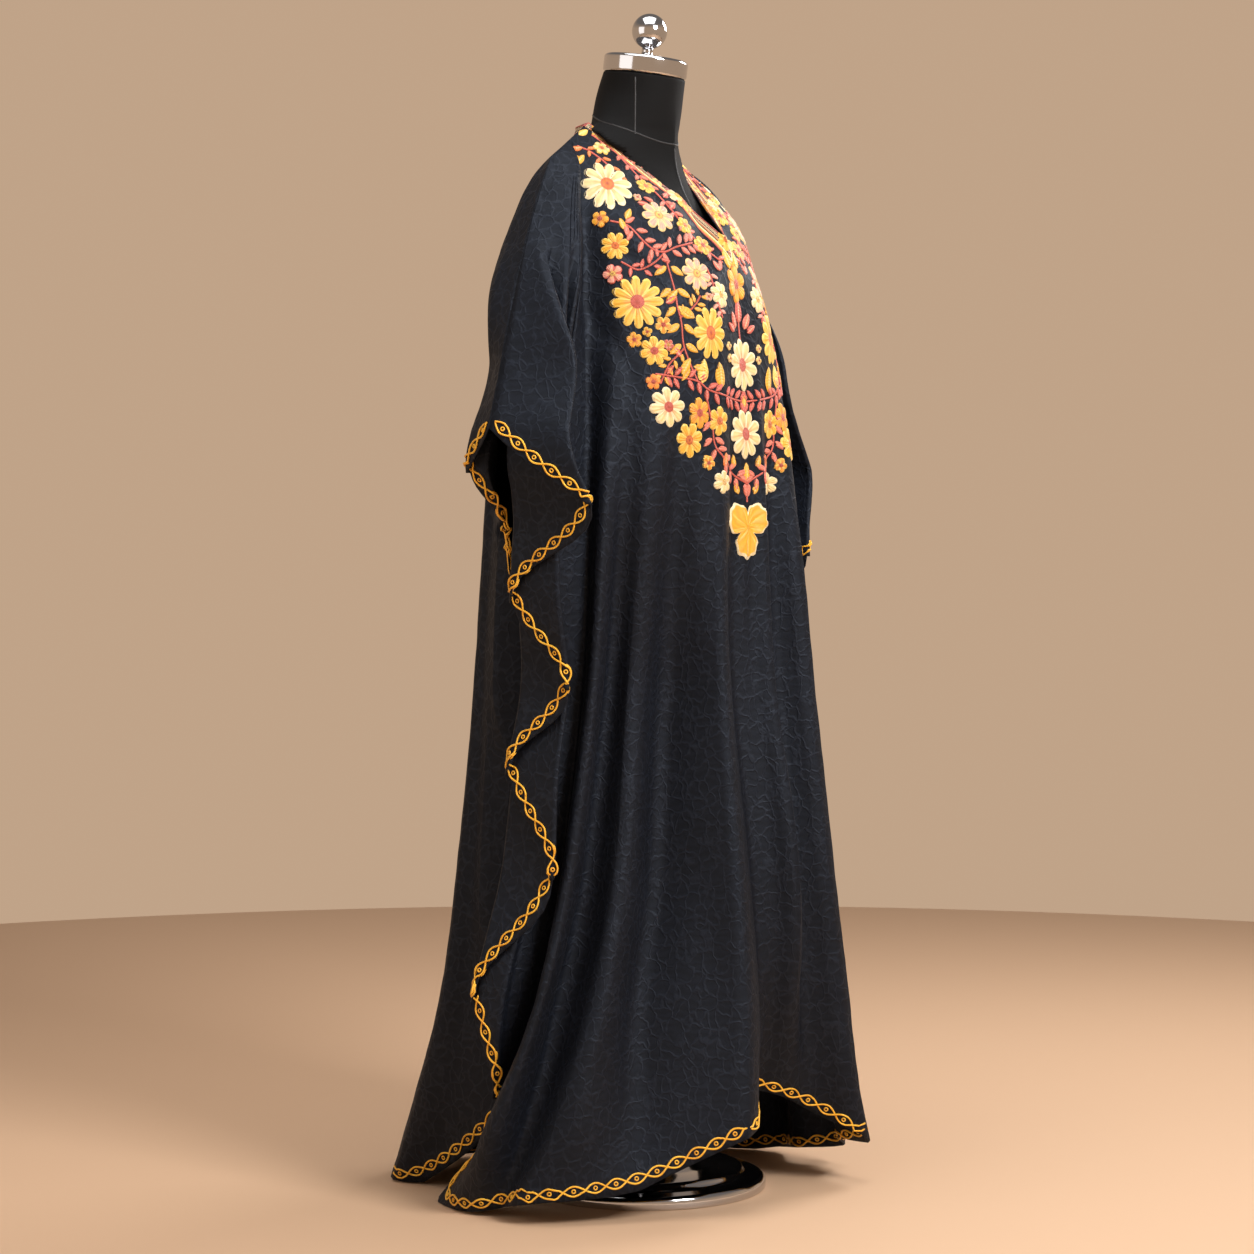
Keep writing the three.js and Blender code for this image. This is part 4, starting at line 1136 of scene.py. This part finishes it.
# The embroidered yoke: raised thread flowers, leaves and stems, the same on both sides of the middle
thread = {
    "cream": (0.86, 0.60, 0.26), "ivory": (0.90, 0.74, 0.45), "gold": (0.86, 0.42, 0.025),
    "amber": (0.82, 0.30, 0.02), "pink": (0.86, 0.36, 0.26), "coral": (0.60, 0.10, 0.07),
    "rose": (0.70, 0.17, 0.11), "orange": (0.80, 0.20, 0.03), "deep": (0.40, 0.06, 0.035),
    "lemon": (0.93, 0.60, 0.12),
}
needle = {"height": 1.7, "rings": (0, 0.14, 0.25, 0.29, 0.42, 0.58, 0.74, 0.86, 0.91, 1.0), "perPetal": 8,
          "stemWidth": 2.8, "stemHeight": 1.2, "base": 0.1, "flowerLift": 0.7, "middle": 17,
          "borders": ((14.5, "ivory"), (17.5, "gold"), (20.5, "coral"))}
# Each flower on the wearer's right or the middle: its middle in the photo, its height in millimetres,
# its petals, and the threads of its petals, outline and centre
flowers = [
    {"at": (607, 185), "size": 88, "wide": 0.8, "petals": 11, "threads": ("cream", "ivory", "orange")},
    {"at": (637, 302), "size": 72, "petals": 12, "threads": ("gold", "lemon", "coral")},
    {"at": (658, 216), "size": 50, "petals": 8, "threads": ("pink", "cream", "lemon")},
    {"at": (696, 274), "size": 50, "wide": 0.9, "petals": 8, "threads": ("pink", "cream", "lemon")},
    {"at": (615, 246), "size": 38, "petals": 8, "threads": ("gold", "lemon", "orange")},
    {"at": (600, 219), "size": 24, "petals": 5, "threads": ("gold", "amber", "coral")},
    {"at": (601, 149), "size": 26, "petals": 6, "threads": ("cream", "lemon", "orange")},
    {"at": (628, 148), "size": 32, "petals": 6, "threads": ("cream", "ivory", "lemon")},
    {"at": (645, 187), "size": 29, "petals": 6, "threads": ("gold", "lemon", "orange")},
    {"at": (661, 180), "size": 34, "wide": 0.85, "petals": 6, "threads": ("gold", "lemon", "coral")},
    {"at": (686, 204), "size": 32, "wide": 0.85, "petals": 5, "threads": ("orange", "amber", "lemon")},
    {"at": (684, 226), "size": 27, "petals": 6, "threads": ("gold", "lemon", "orange")},
    {"at": (702, 246), "size": 31, "petals": 6, "threads": ("amber", "lemon", "coral")},
    {"at": (712, 230), "size": 34, "wide": 0.85, "petals": 6, "threads": ("gold", "lemon", "orange")},
    {"at": (720, 295), "size": 38, "wide": 0.85, "petals": 7, "threads": ("cream", "ivory", "lemon")},
    {"at": (710, 333), "size": 72, "wide": 0.7, "petals": 10, "threads": ("gold", "lemon", "orange")},
    {"at": (740, 365), "size": 72, "wide": 0.85, "petals": 10, "threads": ("cream", "ivory", "coral")},
    {"at": (741, 434), "size": 68, "wide": 0.85, "petals": 9, "threads": ("cream", "ivory", "coral")},
    {"at": (737, 285), "size": 54, "wide": 0.8, "petals": 6, "threads": ("gold", "amber", "coral")},
    {"at": (654, 351), "size": 40, "petals": 7, "threads": ("gold", "lemon", "coral")},
    {"at": (668, 407), "size": 54, "petals": 8, "threads": ("cream", "ivory", "coral")},
    {"at": (689, 440), "size": 48, "wide": 0.78, "petals": 7, "threads": ("gold", "lemon", "orange")},
    {"at": (699, 413), "size": 42, "wide": 0.75, "petals": 6, "threads": ("amber", "gold", "coral")},
    {"at": (719, 421), "size": 40, "wide": 0.8, "petals": 6, "threads": ("gold", "lemon", "orange")},
    {"at": (663, 325), "size": 24, "petals": 5, "threads": ("amber", "lemon", "coral")},
    {"at": (613, 274), "size": 28, "petals": 5, "threads": ("pink", "coral", "lemon")},
    {"at": (634, 340), "size": 22, "petals": 5, "threads": ("amber", "gold", "coral")},
    {"at": (653, 382), "size": 22, "petals": 5, "threads": ("amber", "orange", "coral")},
    {"at": (723, 482), "size": 32, "petals": 6, "threads": ("cream", "ivory", "lemon")},
    {"at": (708, 463), "size": 20, "petals": 5, "threads": ("amber", "lemon", "coral")},
    {"at": (637, 198), "size": 13, "petals": 4, "threads": ("pink", "cream", "coral")},
    {"at": (708, 297), "size": 13, "petals": 4, "threads": ("pink", "cream", "coral")},
    {"at": (647, 332), "size": 14, "petals": 4, "threads": ("gold", "lemon", "coral")},
    {"at": (728, 346), "size": 12, "petals": 4, "threads": ("lemon", "cream", "coral")},
    {"at": (729, 358), "size": 12, "petals": 4, "threads": ("lemon", "cream", "coral")},
    {"at": (694, 190), "size": 18, "petals": 5, "threads": ("lemon", "cream", "coral")},
    {"at": (668, 345), "size": 16, "petals": 5, "threads": ("coral", "pink", "lemon")},
]
# Stems through their points in the photo, with leaves in pairs along them
stems = [
    {"through": [(594, 133), (622, 160), (652, 190), (680, 222), (702, 247), (722, 263)], "leaf": 15,
     "threads": ("coral", "rose"), "gap": 17},
    {"through": [(610, 221), (628, 226), (640, 238), (652, 249), (664, 252), (676, 247), (692, 243)],
     "leaf": 17, "threads": ("coral", "rose"), "gap": 14},
    {"through": [(664, 253), (672, 282), (680, 318), (684, 348), (697, 380)], "leaf": 22,
     "threads": ("coral", "gold"), "gap": 27},
    {"through": [(655, 374), (676, 377), (697, 381), (714, 392), (741, 402)], "leaf": 17,
     "threads": ("coral", "coral"), "gap": 15},
    {"through": [(707, 400), (712, 425), (716, 448), (728, 466), (741, 484)], "leaf": 18,
     "threads": ("coral", "rose"), "gap": 19},
    {"through": [(741, 322), (741, 332), (741, 346)], "leaf": 12, "threads": ("coral", "coral"), "gap": 90},
    {"through": [(741, 478), (741, 486), (741, 502)], "leaf": 14, "threads": ("coral", "gold"), "gap": 90},
    {"through": [(577, 146), (590, 152), (606, 164), (616, 176)], "leaf": 13, "threads": ("coral", "orange"),
     "gap": 13},
    {"through": [(621, 262), (638, 270), (655, 262), (664, 253)], "leaf": 14, "threads": ("coral", "coral"),
     "gap": 13},
    {"through": [(706, 268), (712, 282), (716, 300), (722, 318)], "leaf": 12, "threads": ("coral", "pink"),
     "gap": 13},
    {"through": [(680, 318), (694, 306), (700, 296)], "leaf": 13, "threads": ("coral", "gold"), "gap": 12},
    {"through": [(684, 348), (668, 366), (660, 384)], "leaf": 13, "threads": ("coral", "gold"), "gap": 13},
]
# Single leaves: middle in the photo, length, the way that they point (degrees from up) and their thread
leaves = [
    {"at": (583, 133), "size": 22, "turn": 60, "threads": "lemon"},
    {"at": (595, 127), "size": 20, "turn": 20, "threads": "gold"},
    {"at": (607, 134), "size": 20, "turn": -30, "threads": "gold"},
    {"at": (580, 160), "size": 22, "turn": 40, "threads": "gold"},
    {"at": (577, 149), "size": 18, "turn": 80, "threads": "orange"},
    {"at": (628, 214), "size": 20, "turn": 30, "threads": "gold"},
    {"at": (622, 224), "size": 18, "turn": -20, "threads": "gold"},
    {"at": (684, 312), "size": 26, "turn": -50, "threads": "gold"},
    {"at": (672, 296), "size": 24, "turn": 40, "threads": "gold"},
    {"at": (686, 366), "size": 26, "turn": 30, "threads": "gold"},
    {"at": (703, 371), "size": 34, "turn": 6, "threads": "lemon"},
    {"at": (720, 375), "size": 36, "turn": -8, "threads": "gold"},
    {"at": (741, 472), "size": 27, "turn": 0, "threads": "gold"},
    {"at": (733, 461), "size": 18, "turn": -12, "threads": "gold"},
    {"at": (736, 488), "size": 18, "turn": -22, "threads": "gold"},
    {"at": (741, 401), "size": 20, "turn": 0, "threads": "gold"},
    {"at": (741, 312), "size": 34, "turn": 0, "threads": "coral"},
    {"at": (733, 320), "size": 25, "turn": -24, "threads": "rose"},
    {"at": (731, 327), "size": 20, "turn": -55, "threads": "coral"},
    {"at": (726, 259), "size": 30, "turn": -8, "threads": "gold"},
    {"at": (716, 266), "size": 18, "turn": -30, "threads": "rose"},
    {"at": (671, 176), "size": 24, "turn": 30, "threads": "gold"},
    {"at": (650, 168), "size": 20, "turn": -60, "threads": "coral"},
    {"at": (665, 196), "size": 20, "turn": 60, "threads": "coral"},
    {"at": (672, 206), "size": 20, "turn": 50, "threads": "coral"},
    {"at": (634, 160), "size": 18, "turn": 60, "threads": "rose"},
    {"at": (725, 460), "size": 22, "turn": 12, "threads": "orange"},
    {"at": (677, 352), "size": 18, "turn": -40, "threads": "coral"},
    {"at": (671, 300), "size": 20, "turn": 60, "threads": "coral"},
    {"at": (643, 204), "size": 17, "turn": 100, "threads": "coral"},
    {"at": (632, 168), "size": 16, "turn": 70, "threads": "coral"},
    {"at": (648, 200), "size": 16, "turn": -60, "threads": "coral"},
    {"at": (709, 461), "size": 22, "turn": 130, "threads": "gold"},
]
# The leaf that ends the yoke: a plain three-lobed leaf by rule, one lobe down; sizes in millimetres
lastLeaf = {"at": (741, 527), "threads": ("gold", "ivory", "lemon"), "half": 37, "reach": 44, "lobes": 3,
            "waist": 0.4, "teeth": 0.045, "corners": 72, "veinGap": 8}


def throughPixel(pixel):
    # Where the photo's line of sight through a pixel meets the front of the cloth: [right, up]
    v = view
    a = math.radians(v["azimuth"])
    eye = Vector((math.sin(a) * v["away"], -math.cos(a) * v["away"], v["height"]))
    ahead, across = Vector((-math.sin(a), math.cos(a), 0)), Vector((math.cos(a), math.sin(a), 0))
    way = ahead * v["focalPixels"] + across * (pixel[0] - v["axisPixel"]) + Vector(
        (0, 0, v["horizonPixel"] - pixel[1]))
    way.normalize()
    hit = frontSurface.ray_cast(eye, way)[0]
    if hit is None:  # just past the edge of the cloth: the nearest cloth along the line of sight
        tries = (frontSurface.find_nearest(eye + way * (v["away"] + (k - 20) * 0.015)) for k in range(40))
        hit = min(tries, key=lambda found: found[3])[0]
    return [-hit.x / mm, hit.z / mm]


def onFront(right, up):
    # The point of the front straight behind a place, and the way out of the cloth there
    spot, normal, _, _ = frontSurface.ray_cast(Vector((-right * mm, -1, up * mm)), Vector((0, 1, 0)))
    if spot is None:
        spot, normal, _, _ = frontSurface.find_nearest(Vector((-right * mm, -0.15, up * mm)))
    return spot, normal if normal.y < 0 else -normal


class Needlework:
    # Collects points, faces, colours and stitch lines for one mesh
    def __init__(self):
        self.points, self.faces, self.paint, self.stitch = [], [], [], []

    def lay(self, frameAt, rows, closed):
        # rows of (across, upward, height, thread colour, stitch) in millimetres round frameAt
        spot, normal, right, up = frameAt
        start, width = len(self.points), len(rows[0])
        for row in rows:
            for x, y, height, colour, line in row:
                place = spot + (right * x + up * y) * mm
                hit, way, _, _ = frontSurface.ray_cast(place + normal * 0.03, -normal, 0.07)
                if hit is None:
                    hit, way, _, _ = frontSurface.find_nearest(place)
                way = way if way.dot(normal) > 0 else -way
                self.points.append(hit + way * (cloth["thickness"] / 2 + height + needle["base"]) * mm)
                self.paint.append((*colour, 1))
                self.stitch.append(line)
        for j in range(len(rows) - 1):
            for i in range(width if closed else width - 1):
                n = (i + 1) % width
                self.faces.append((start + j * width + i, start + j * width + n, start + (j + 1) * width + n,
                                   start + (j + 1) * width + i))

    def mesh(self, name):
        mesh = smoothMesh(name, self.points, self.faces, self.stitch)
        colours = mesh.color_attributes.new("paint", "FLOAT_COLOR", "POINT")
        colours.data.foreach_set("color", [c for colour in self.paint for c in colour])
        return mesh


def frameOn(place, turn=0.0):
    spot, normal = onFront(*place)
    up = (Vector((0, 0, 1)) - normal * normal.z).normalized()
    right = up.cross(normal).normalized()
    c, s = math.cos(turn), math.sin(turn)
    return spot, normal, right * c - up * s, right * s + up * c


def sewFlower(work, place, row, turn):
    petal, outline, centre = (thread[name] for name in row["threads"])
    size, petals, wide = row["size"], row["petals"], row.get("wide", 1.0)
    n = needle
    around = petals * n["perPetal"]
    deep = thread["deep"]
    rows = []
    for r in reversed(n["rings"]):
        line = []
        for k in range(around):
            angle = 2 * math.pi * k / around
            inPetal = abs(math.sin(angle * petals / 2))
            reach = size / 2 * (0.70 + 0.32 * inPetal**0.6)
            radius = r * reach if r > 0.3 else r * size / 2
            if r <= 0.25:
                height = n["height"] * (1.15 - 1.6 * r) + n["flowerLift"]
                colour = mixed(deep, centre, 0.35 if r > 0.2 else 1.0) if r > 0.1 else deep
            elif r >= 1:
                height, colour = 0.0, outline
            else:
                swell = math.sin(math.pi * (0.2 + 0.72 * (1 - r)))
                height = n["height"] * (0.42 + 0.58 * inPetal**0.8) * swell + n["flowerLift"]
                inner = mixed(petal, centre, 0.35 if r < 0.45 else 0)
                colour = outline if r > 0.86 or inPetal < 0.4 else inner
            across, upward = radius * wide * math.sin(angle + turn), radius * math.cos(angle + turn)
            line.append((across, upward, height, colour, (angle * 26, r)))
        rows.append(line)
    work.lay(frameOn(place), rows, True)


def sewLeaf(work, place, length, width, name, turn, vein="ivory"):
    colour, line = thread[name], thread[vein]
    rows = []
    for j in range(9):
        t = j / 8
        half = width / 2 * math.sin(math.pi * t**0.8)**0.8 if 0 < j < 8 else 0.05
        row = []
        for x in (1, 0.8, 0.35, 0, -0.35, -0.8, -1):
            height = 0.0 if abs(x) == 1 or j in (0, 8) else needle["height"] * (0.75 if x == 0 else 0.95)
            shade = mixed(colour, line, 0.5) if x == 0 else colour
            row.append((x * half, (t - 0.5) * length, height, shade, (t * length * 1.5 + abs(x) * 5, abs(x))))
        rows.append(row)
    work.lay(frameOn(place, turn), rows, False)


def smoothPath(points, steps=6):
    out = []
    for i in range(len(points) - 1):
        a, b, c, d = (Vector(points[min(len(points) - 1, max(0, k))]) for k in (i - 1, i, i + 1, i + 2))
        for s in range(steps):
            t = s / steps
            out.append(b + (c - a) * (t / 2) + (a * 2 - b * 5 + c * 4 - d) * (t * t / 2)
                       + (b * 3 - a - c * 3 + d) * (t**3 / 2))
    return out + [Vector(points[-1])]


def ropeRow(spot, normal, along, run):
    # Half a round of a rope that lies on the cloth
    out = along.cross(normal).normalized()
    n, line = needle, []
    for k in range(5):
        angle = math.pi * k / 4
        lift = cloth["thickness"] / 2 + n["base"] + n["stemHeight"] * math.sin(angle)
        line.append((spot + (out * math.cos(angle) * n["stemWidth"] / 2 + normal * lift) * mm, run))
    return line


def layRope(work, rows, name):
    start = len(work.points)
    for line in rows:
        for spot, run in line:
            work.points.append(spot)
            work.paint.append((*thread[name], 1))
            work.stitch.append((run * 1.6, 0))
    for j in range(len(rows) - 1):
        for k in range(4):
            a = start + j * 5 + k
            work.faces.append((a, a + 1, a + 6, a + 5))


def sewBorder(work, away, name):
    # A rope along the outside of the neck braid
    steps = neckSteps(frontGrid, frontNeck)
    spots = [place + inward * (away * mm * mitre) for place, normal, inward, mitre, run in steps]
    hits = [frontSurface.find_nearest(spot) for spot in evenly(spots, 3 * mm, 1)]
    rows = []
    for i, hit in enumerate(hits):
        along = (hits[min(len(hits) - 1, i + 1)][0] - hits[max(0, i - 1)][0]).normalized()
        normal = hit[1] if hit[1].y < 0.3 else -hit[1]
        rows.append(ropeRow(hit[0], normal, along, i * 3.0))
    layRope(work, rows, name)


def sewStem(work, path, row):
    # A rope of chain stitch along the path, and a pair of leaves at every gap
    main, leafThread = row["threads"]
    rows, run, nextLeaf = [], 0.0, row["gap"] * 0.5
    for i, place in enumerate(path):
        before, after = path[max(0, i - 1)], path[min(len(path) - 1, i + 1)]
        way = (after - before).normalized()
        run += (place - before).length
        spot, normal = onFront(*place)
        along = (onFront(*(place + way))[0] - spot).normalized()
        rows.append(ropeRow(spot, normal, along, run))
        if run >= nextLeaf and i < len(path) - 1:
            nextLeaf += row["gap"]
            heading = math.atan2(way.x, way.y)
            for side in (1, -1):
                angle = heading + side * 0.95
                far = 0.62 * row["leaf"]
                middle = place + Vector((math.sin(angle), math.cos(angle))) * far
                sewLeaf(work, middle, row["leaf"], row["leaf"] * 0.46, leafThread, -angle, "pink")
    layRope(work, rows, main)


def sewLastLeaf(work, row):
    place = [0, throughPixel(row["at"])[1]]
    petal, outline, vein = (thread[name] for name in row["threads"])
    edge = []
    for k in range(row["corners"]):
        angle = 2 * math.pi * k / row["corners"]
        reach = row["waist"] + (1 - row["waist"]) * abs(math.cos(angle * row["lobes"] / 2))**0.8
        reach *= 1 + row["teeth"] * math.cos(angle * 5 * row["lobes"])
        edge.append(Vector((math.sin(angle) * reach * row["half"], -math.cos(angle) * reach * row["reach"])))
    rows = []
    for r in (1.0, 0.92, 0.88, 0.72, 0.48, 0.24, 0.0):
        line = []
        for k, point in enumerate(edge):
            spread = abs(math.sin(k * math.pi / row["veinGap"]))
            height = needle["height"] * (0.7 + 0.3 * spread * (1 - r)) + needle["flowerLift"]
            onVein = k % row["veinGap"] == 0 and 0.1 < r < 0.85
            height *= 0 if r == 1 else 0.85 if onVein else 1
            colour = outline if r > 0.9 else vein if onVein else petal
            line.append((point.x * r, point.y * r, height, colour, (k * 1.3 + r * 9, r)))
        rows.append(line)
    work.lay(frameOn(place), rows, True)


def sewYoke():
    work = Needlework()
    middle = needle["middle"]
    both = lambda place: [place] if abs(place[0]) < middle else [place, [-place[0], place[1]]]
    for k, row in enumerate(flowers):
        place = throughPixel(row["at"])
        if abs(place[0]) < middle:
            place[0] = 0
        for spot in both(place):
            sewFlower(work, spot, row, 0.21 * k)
    for row in stems:
        points = [throughPixel(pixel) for pixel in row["through"]]
        points = [[0 if abs(right) < middle else right, up] for right, up in points]
        for way in (1, -1):
            if way == 1 or any(right for right, up in points):
                sewStem(work, smoothPath([[right * way, up] for right, up in points]), row)
    for row in leaves:
        place = throughPixel(row["at"])
        if abs(place[0]) < middle:
            place[0] = max(abs(place[0]), row["size"] * 0.33) if row["turn"] else 0
        for spot in ([place, [-place[0], place[1]]] if place[0] else [place]):
            way = 1 if spot is place else -1
            turn = math.radians(row["turn"]) * way
            sewLeaf(work, spot, row["size"], row["size"] * 0.5, row["threads"], turn)
    sewLastLeaf(work, lastLeaf)
    for away, name in needle["borders"]:
        sewBorder(work, away, name)
    mesh = work.mesh("yokeEmbroidery")
    mesh.update()
    for polygon in mesh.polygons:
        if polygon.normal.y > 0.05:
            polygon.flip()
    return addPiece("yokeEmbroidery", mesh, threads)


yoke = sewYoke()
print("yoke sewn", len(yoke.data.polygons))


# The room: a pale round floor, soft light, and the photo's view. Lengths in metres, and each lamp's
# azimuth is from the camera's.
room = {
    "floorRadius": 3.34, "floorCorners": 128, "floorColour": (0.66, 0.43, 0.27), "floorRoughness": 0.7,
    "low": (0.25, (0.66, 0.46, 0.31, 1)), "high": (0.62, (0.24, 0.21, 0.19, 1)), "skyStrength": 0.8,
    "aim": 0.9,
    "lamps": [
        {"name": "key", "azimuth": 40, "height": 2.6, "away": 3.0, "width": 1.1, "power": 120},
        {"name": "fill", "azimuth": -55, "height": 1.7, "away": 3.2, "width": 2.2, "power": 18},
        {"name": "rim", "azimuth": 130, "height": 2.4, "away": 2.2, "width": 1.0, "power": 40},
        {"name": "top", "azimuth": 0, "height": 3.2, "away": 0.6, "width": 1.8, "power": 36},
    ],
}


def buildFloor():
    angles = [2 * math.pi * k / room["floorCorners"] for k in range(room["floorCorners"])]
    corners = [Vector((math.cos(a), math.sin(a), 0)) * room["floorRadius"] for a in angles]
    mesh = bpy.data.meshes.new("floor")
    mesh.from_pydata(corners, [], [tuple(range(len(corners)))])
    f = Finish("paleFloor")
    mesh.materials.append(f.set(Base_Color=room["floorColour"], Roughness=room["floorRoughness"]))
    floor = bpy.data.objects.new("floor", mesh)
    bpy.context.scene.collection.objects.link(floor)


def buildWorld():
    # Tan near the horizon and dark overhead, so that the chrome has something to reflect
    world = bpy.data.worlds.new("room light")
    world.use_nodes = True
    nodes, links = world.node_tree.nodes, world.node_tree.links
    way, height, sky = (nodes.new("ShaderNode" + kind) for kind in ("TexCoord", "SeparateXYZ", "ValToRGB"))
    for point, (position, colour) in zip(sky.color_ramp.elements, (room["low"], room["high"])):
        point.position, point.color = position, colour
    links.new(way.outputs["Generated"], height.inputs[0])
    links.new(height.outputs["Z"], sky.inputs[0])
    links.new(sky.outputs[0], nodes["Background"].inputs[0])
    nodes["Background"].inputs[1].default_value = room["skyStrength"]
    bpy.context.scene.world = world
    bpy.context.scene.view_settings.view_transform = "Standard"


def buildLamps():
    for row in room["lamps"]:
        light = bpy.data.lights.new(row["name"], "AREA")
        light.energy, light.size = row["power"], row["width"]
        lamp = bpy.data.objects.new(row["name"], light)
        bpy.context.scene.collection.objects.link(lamp)
        a = math.radians(view["azimuth"] + row["azimuth"])
        lamp.location = (math.sin(a) * row["away"], -math.cos(a) * row["away"], row["height"])
        aim = Vector((0, 0, room["aim"])) - lamp.location
        lamp.rotation_euler = aim.to_track_quat("-Z", "Y").to_euler()


def buildCamera():
    v = view
    lens = bpy.data.cameras.new("camera")
    lens.sensor_width = v["sensorWidth"]
    lens.lens = v["focalPixels"] / v["imagePixels"] * v["sensorWidth"]
    middle = v["imagePixels"] / 2
    lens.shift_x = (middle - v["axisPixel"]) / v["imagePixels"]
    lens.shift_y = (v["horizonPixel"] - middle) / v["imagePixels"]
    camera = bpy.data.objects.new("camera", lens)
    bpy.context.scene.collection.objects.link(camera)
    a = math.radians(v["azimuth"])
    camera.location = (math.sin(a) * v["away"], -math.cos(a) * v["away"], v["height"])
    camera.rotation_euler = (math.pi / 2, 0, a)
    bpy.context.scene.camera = camera


buildCamera()
buildFloor()
buildWorld()
buildLamps()
print("room built")
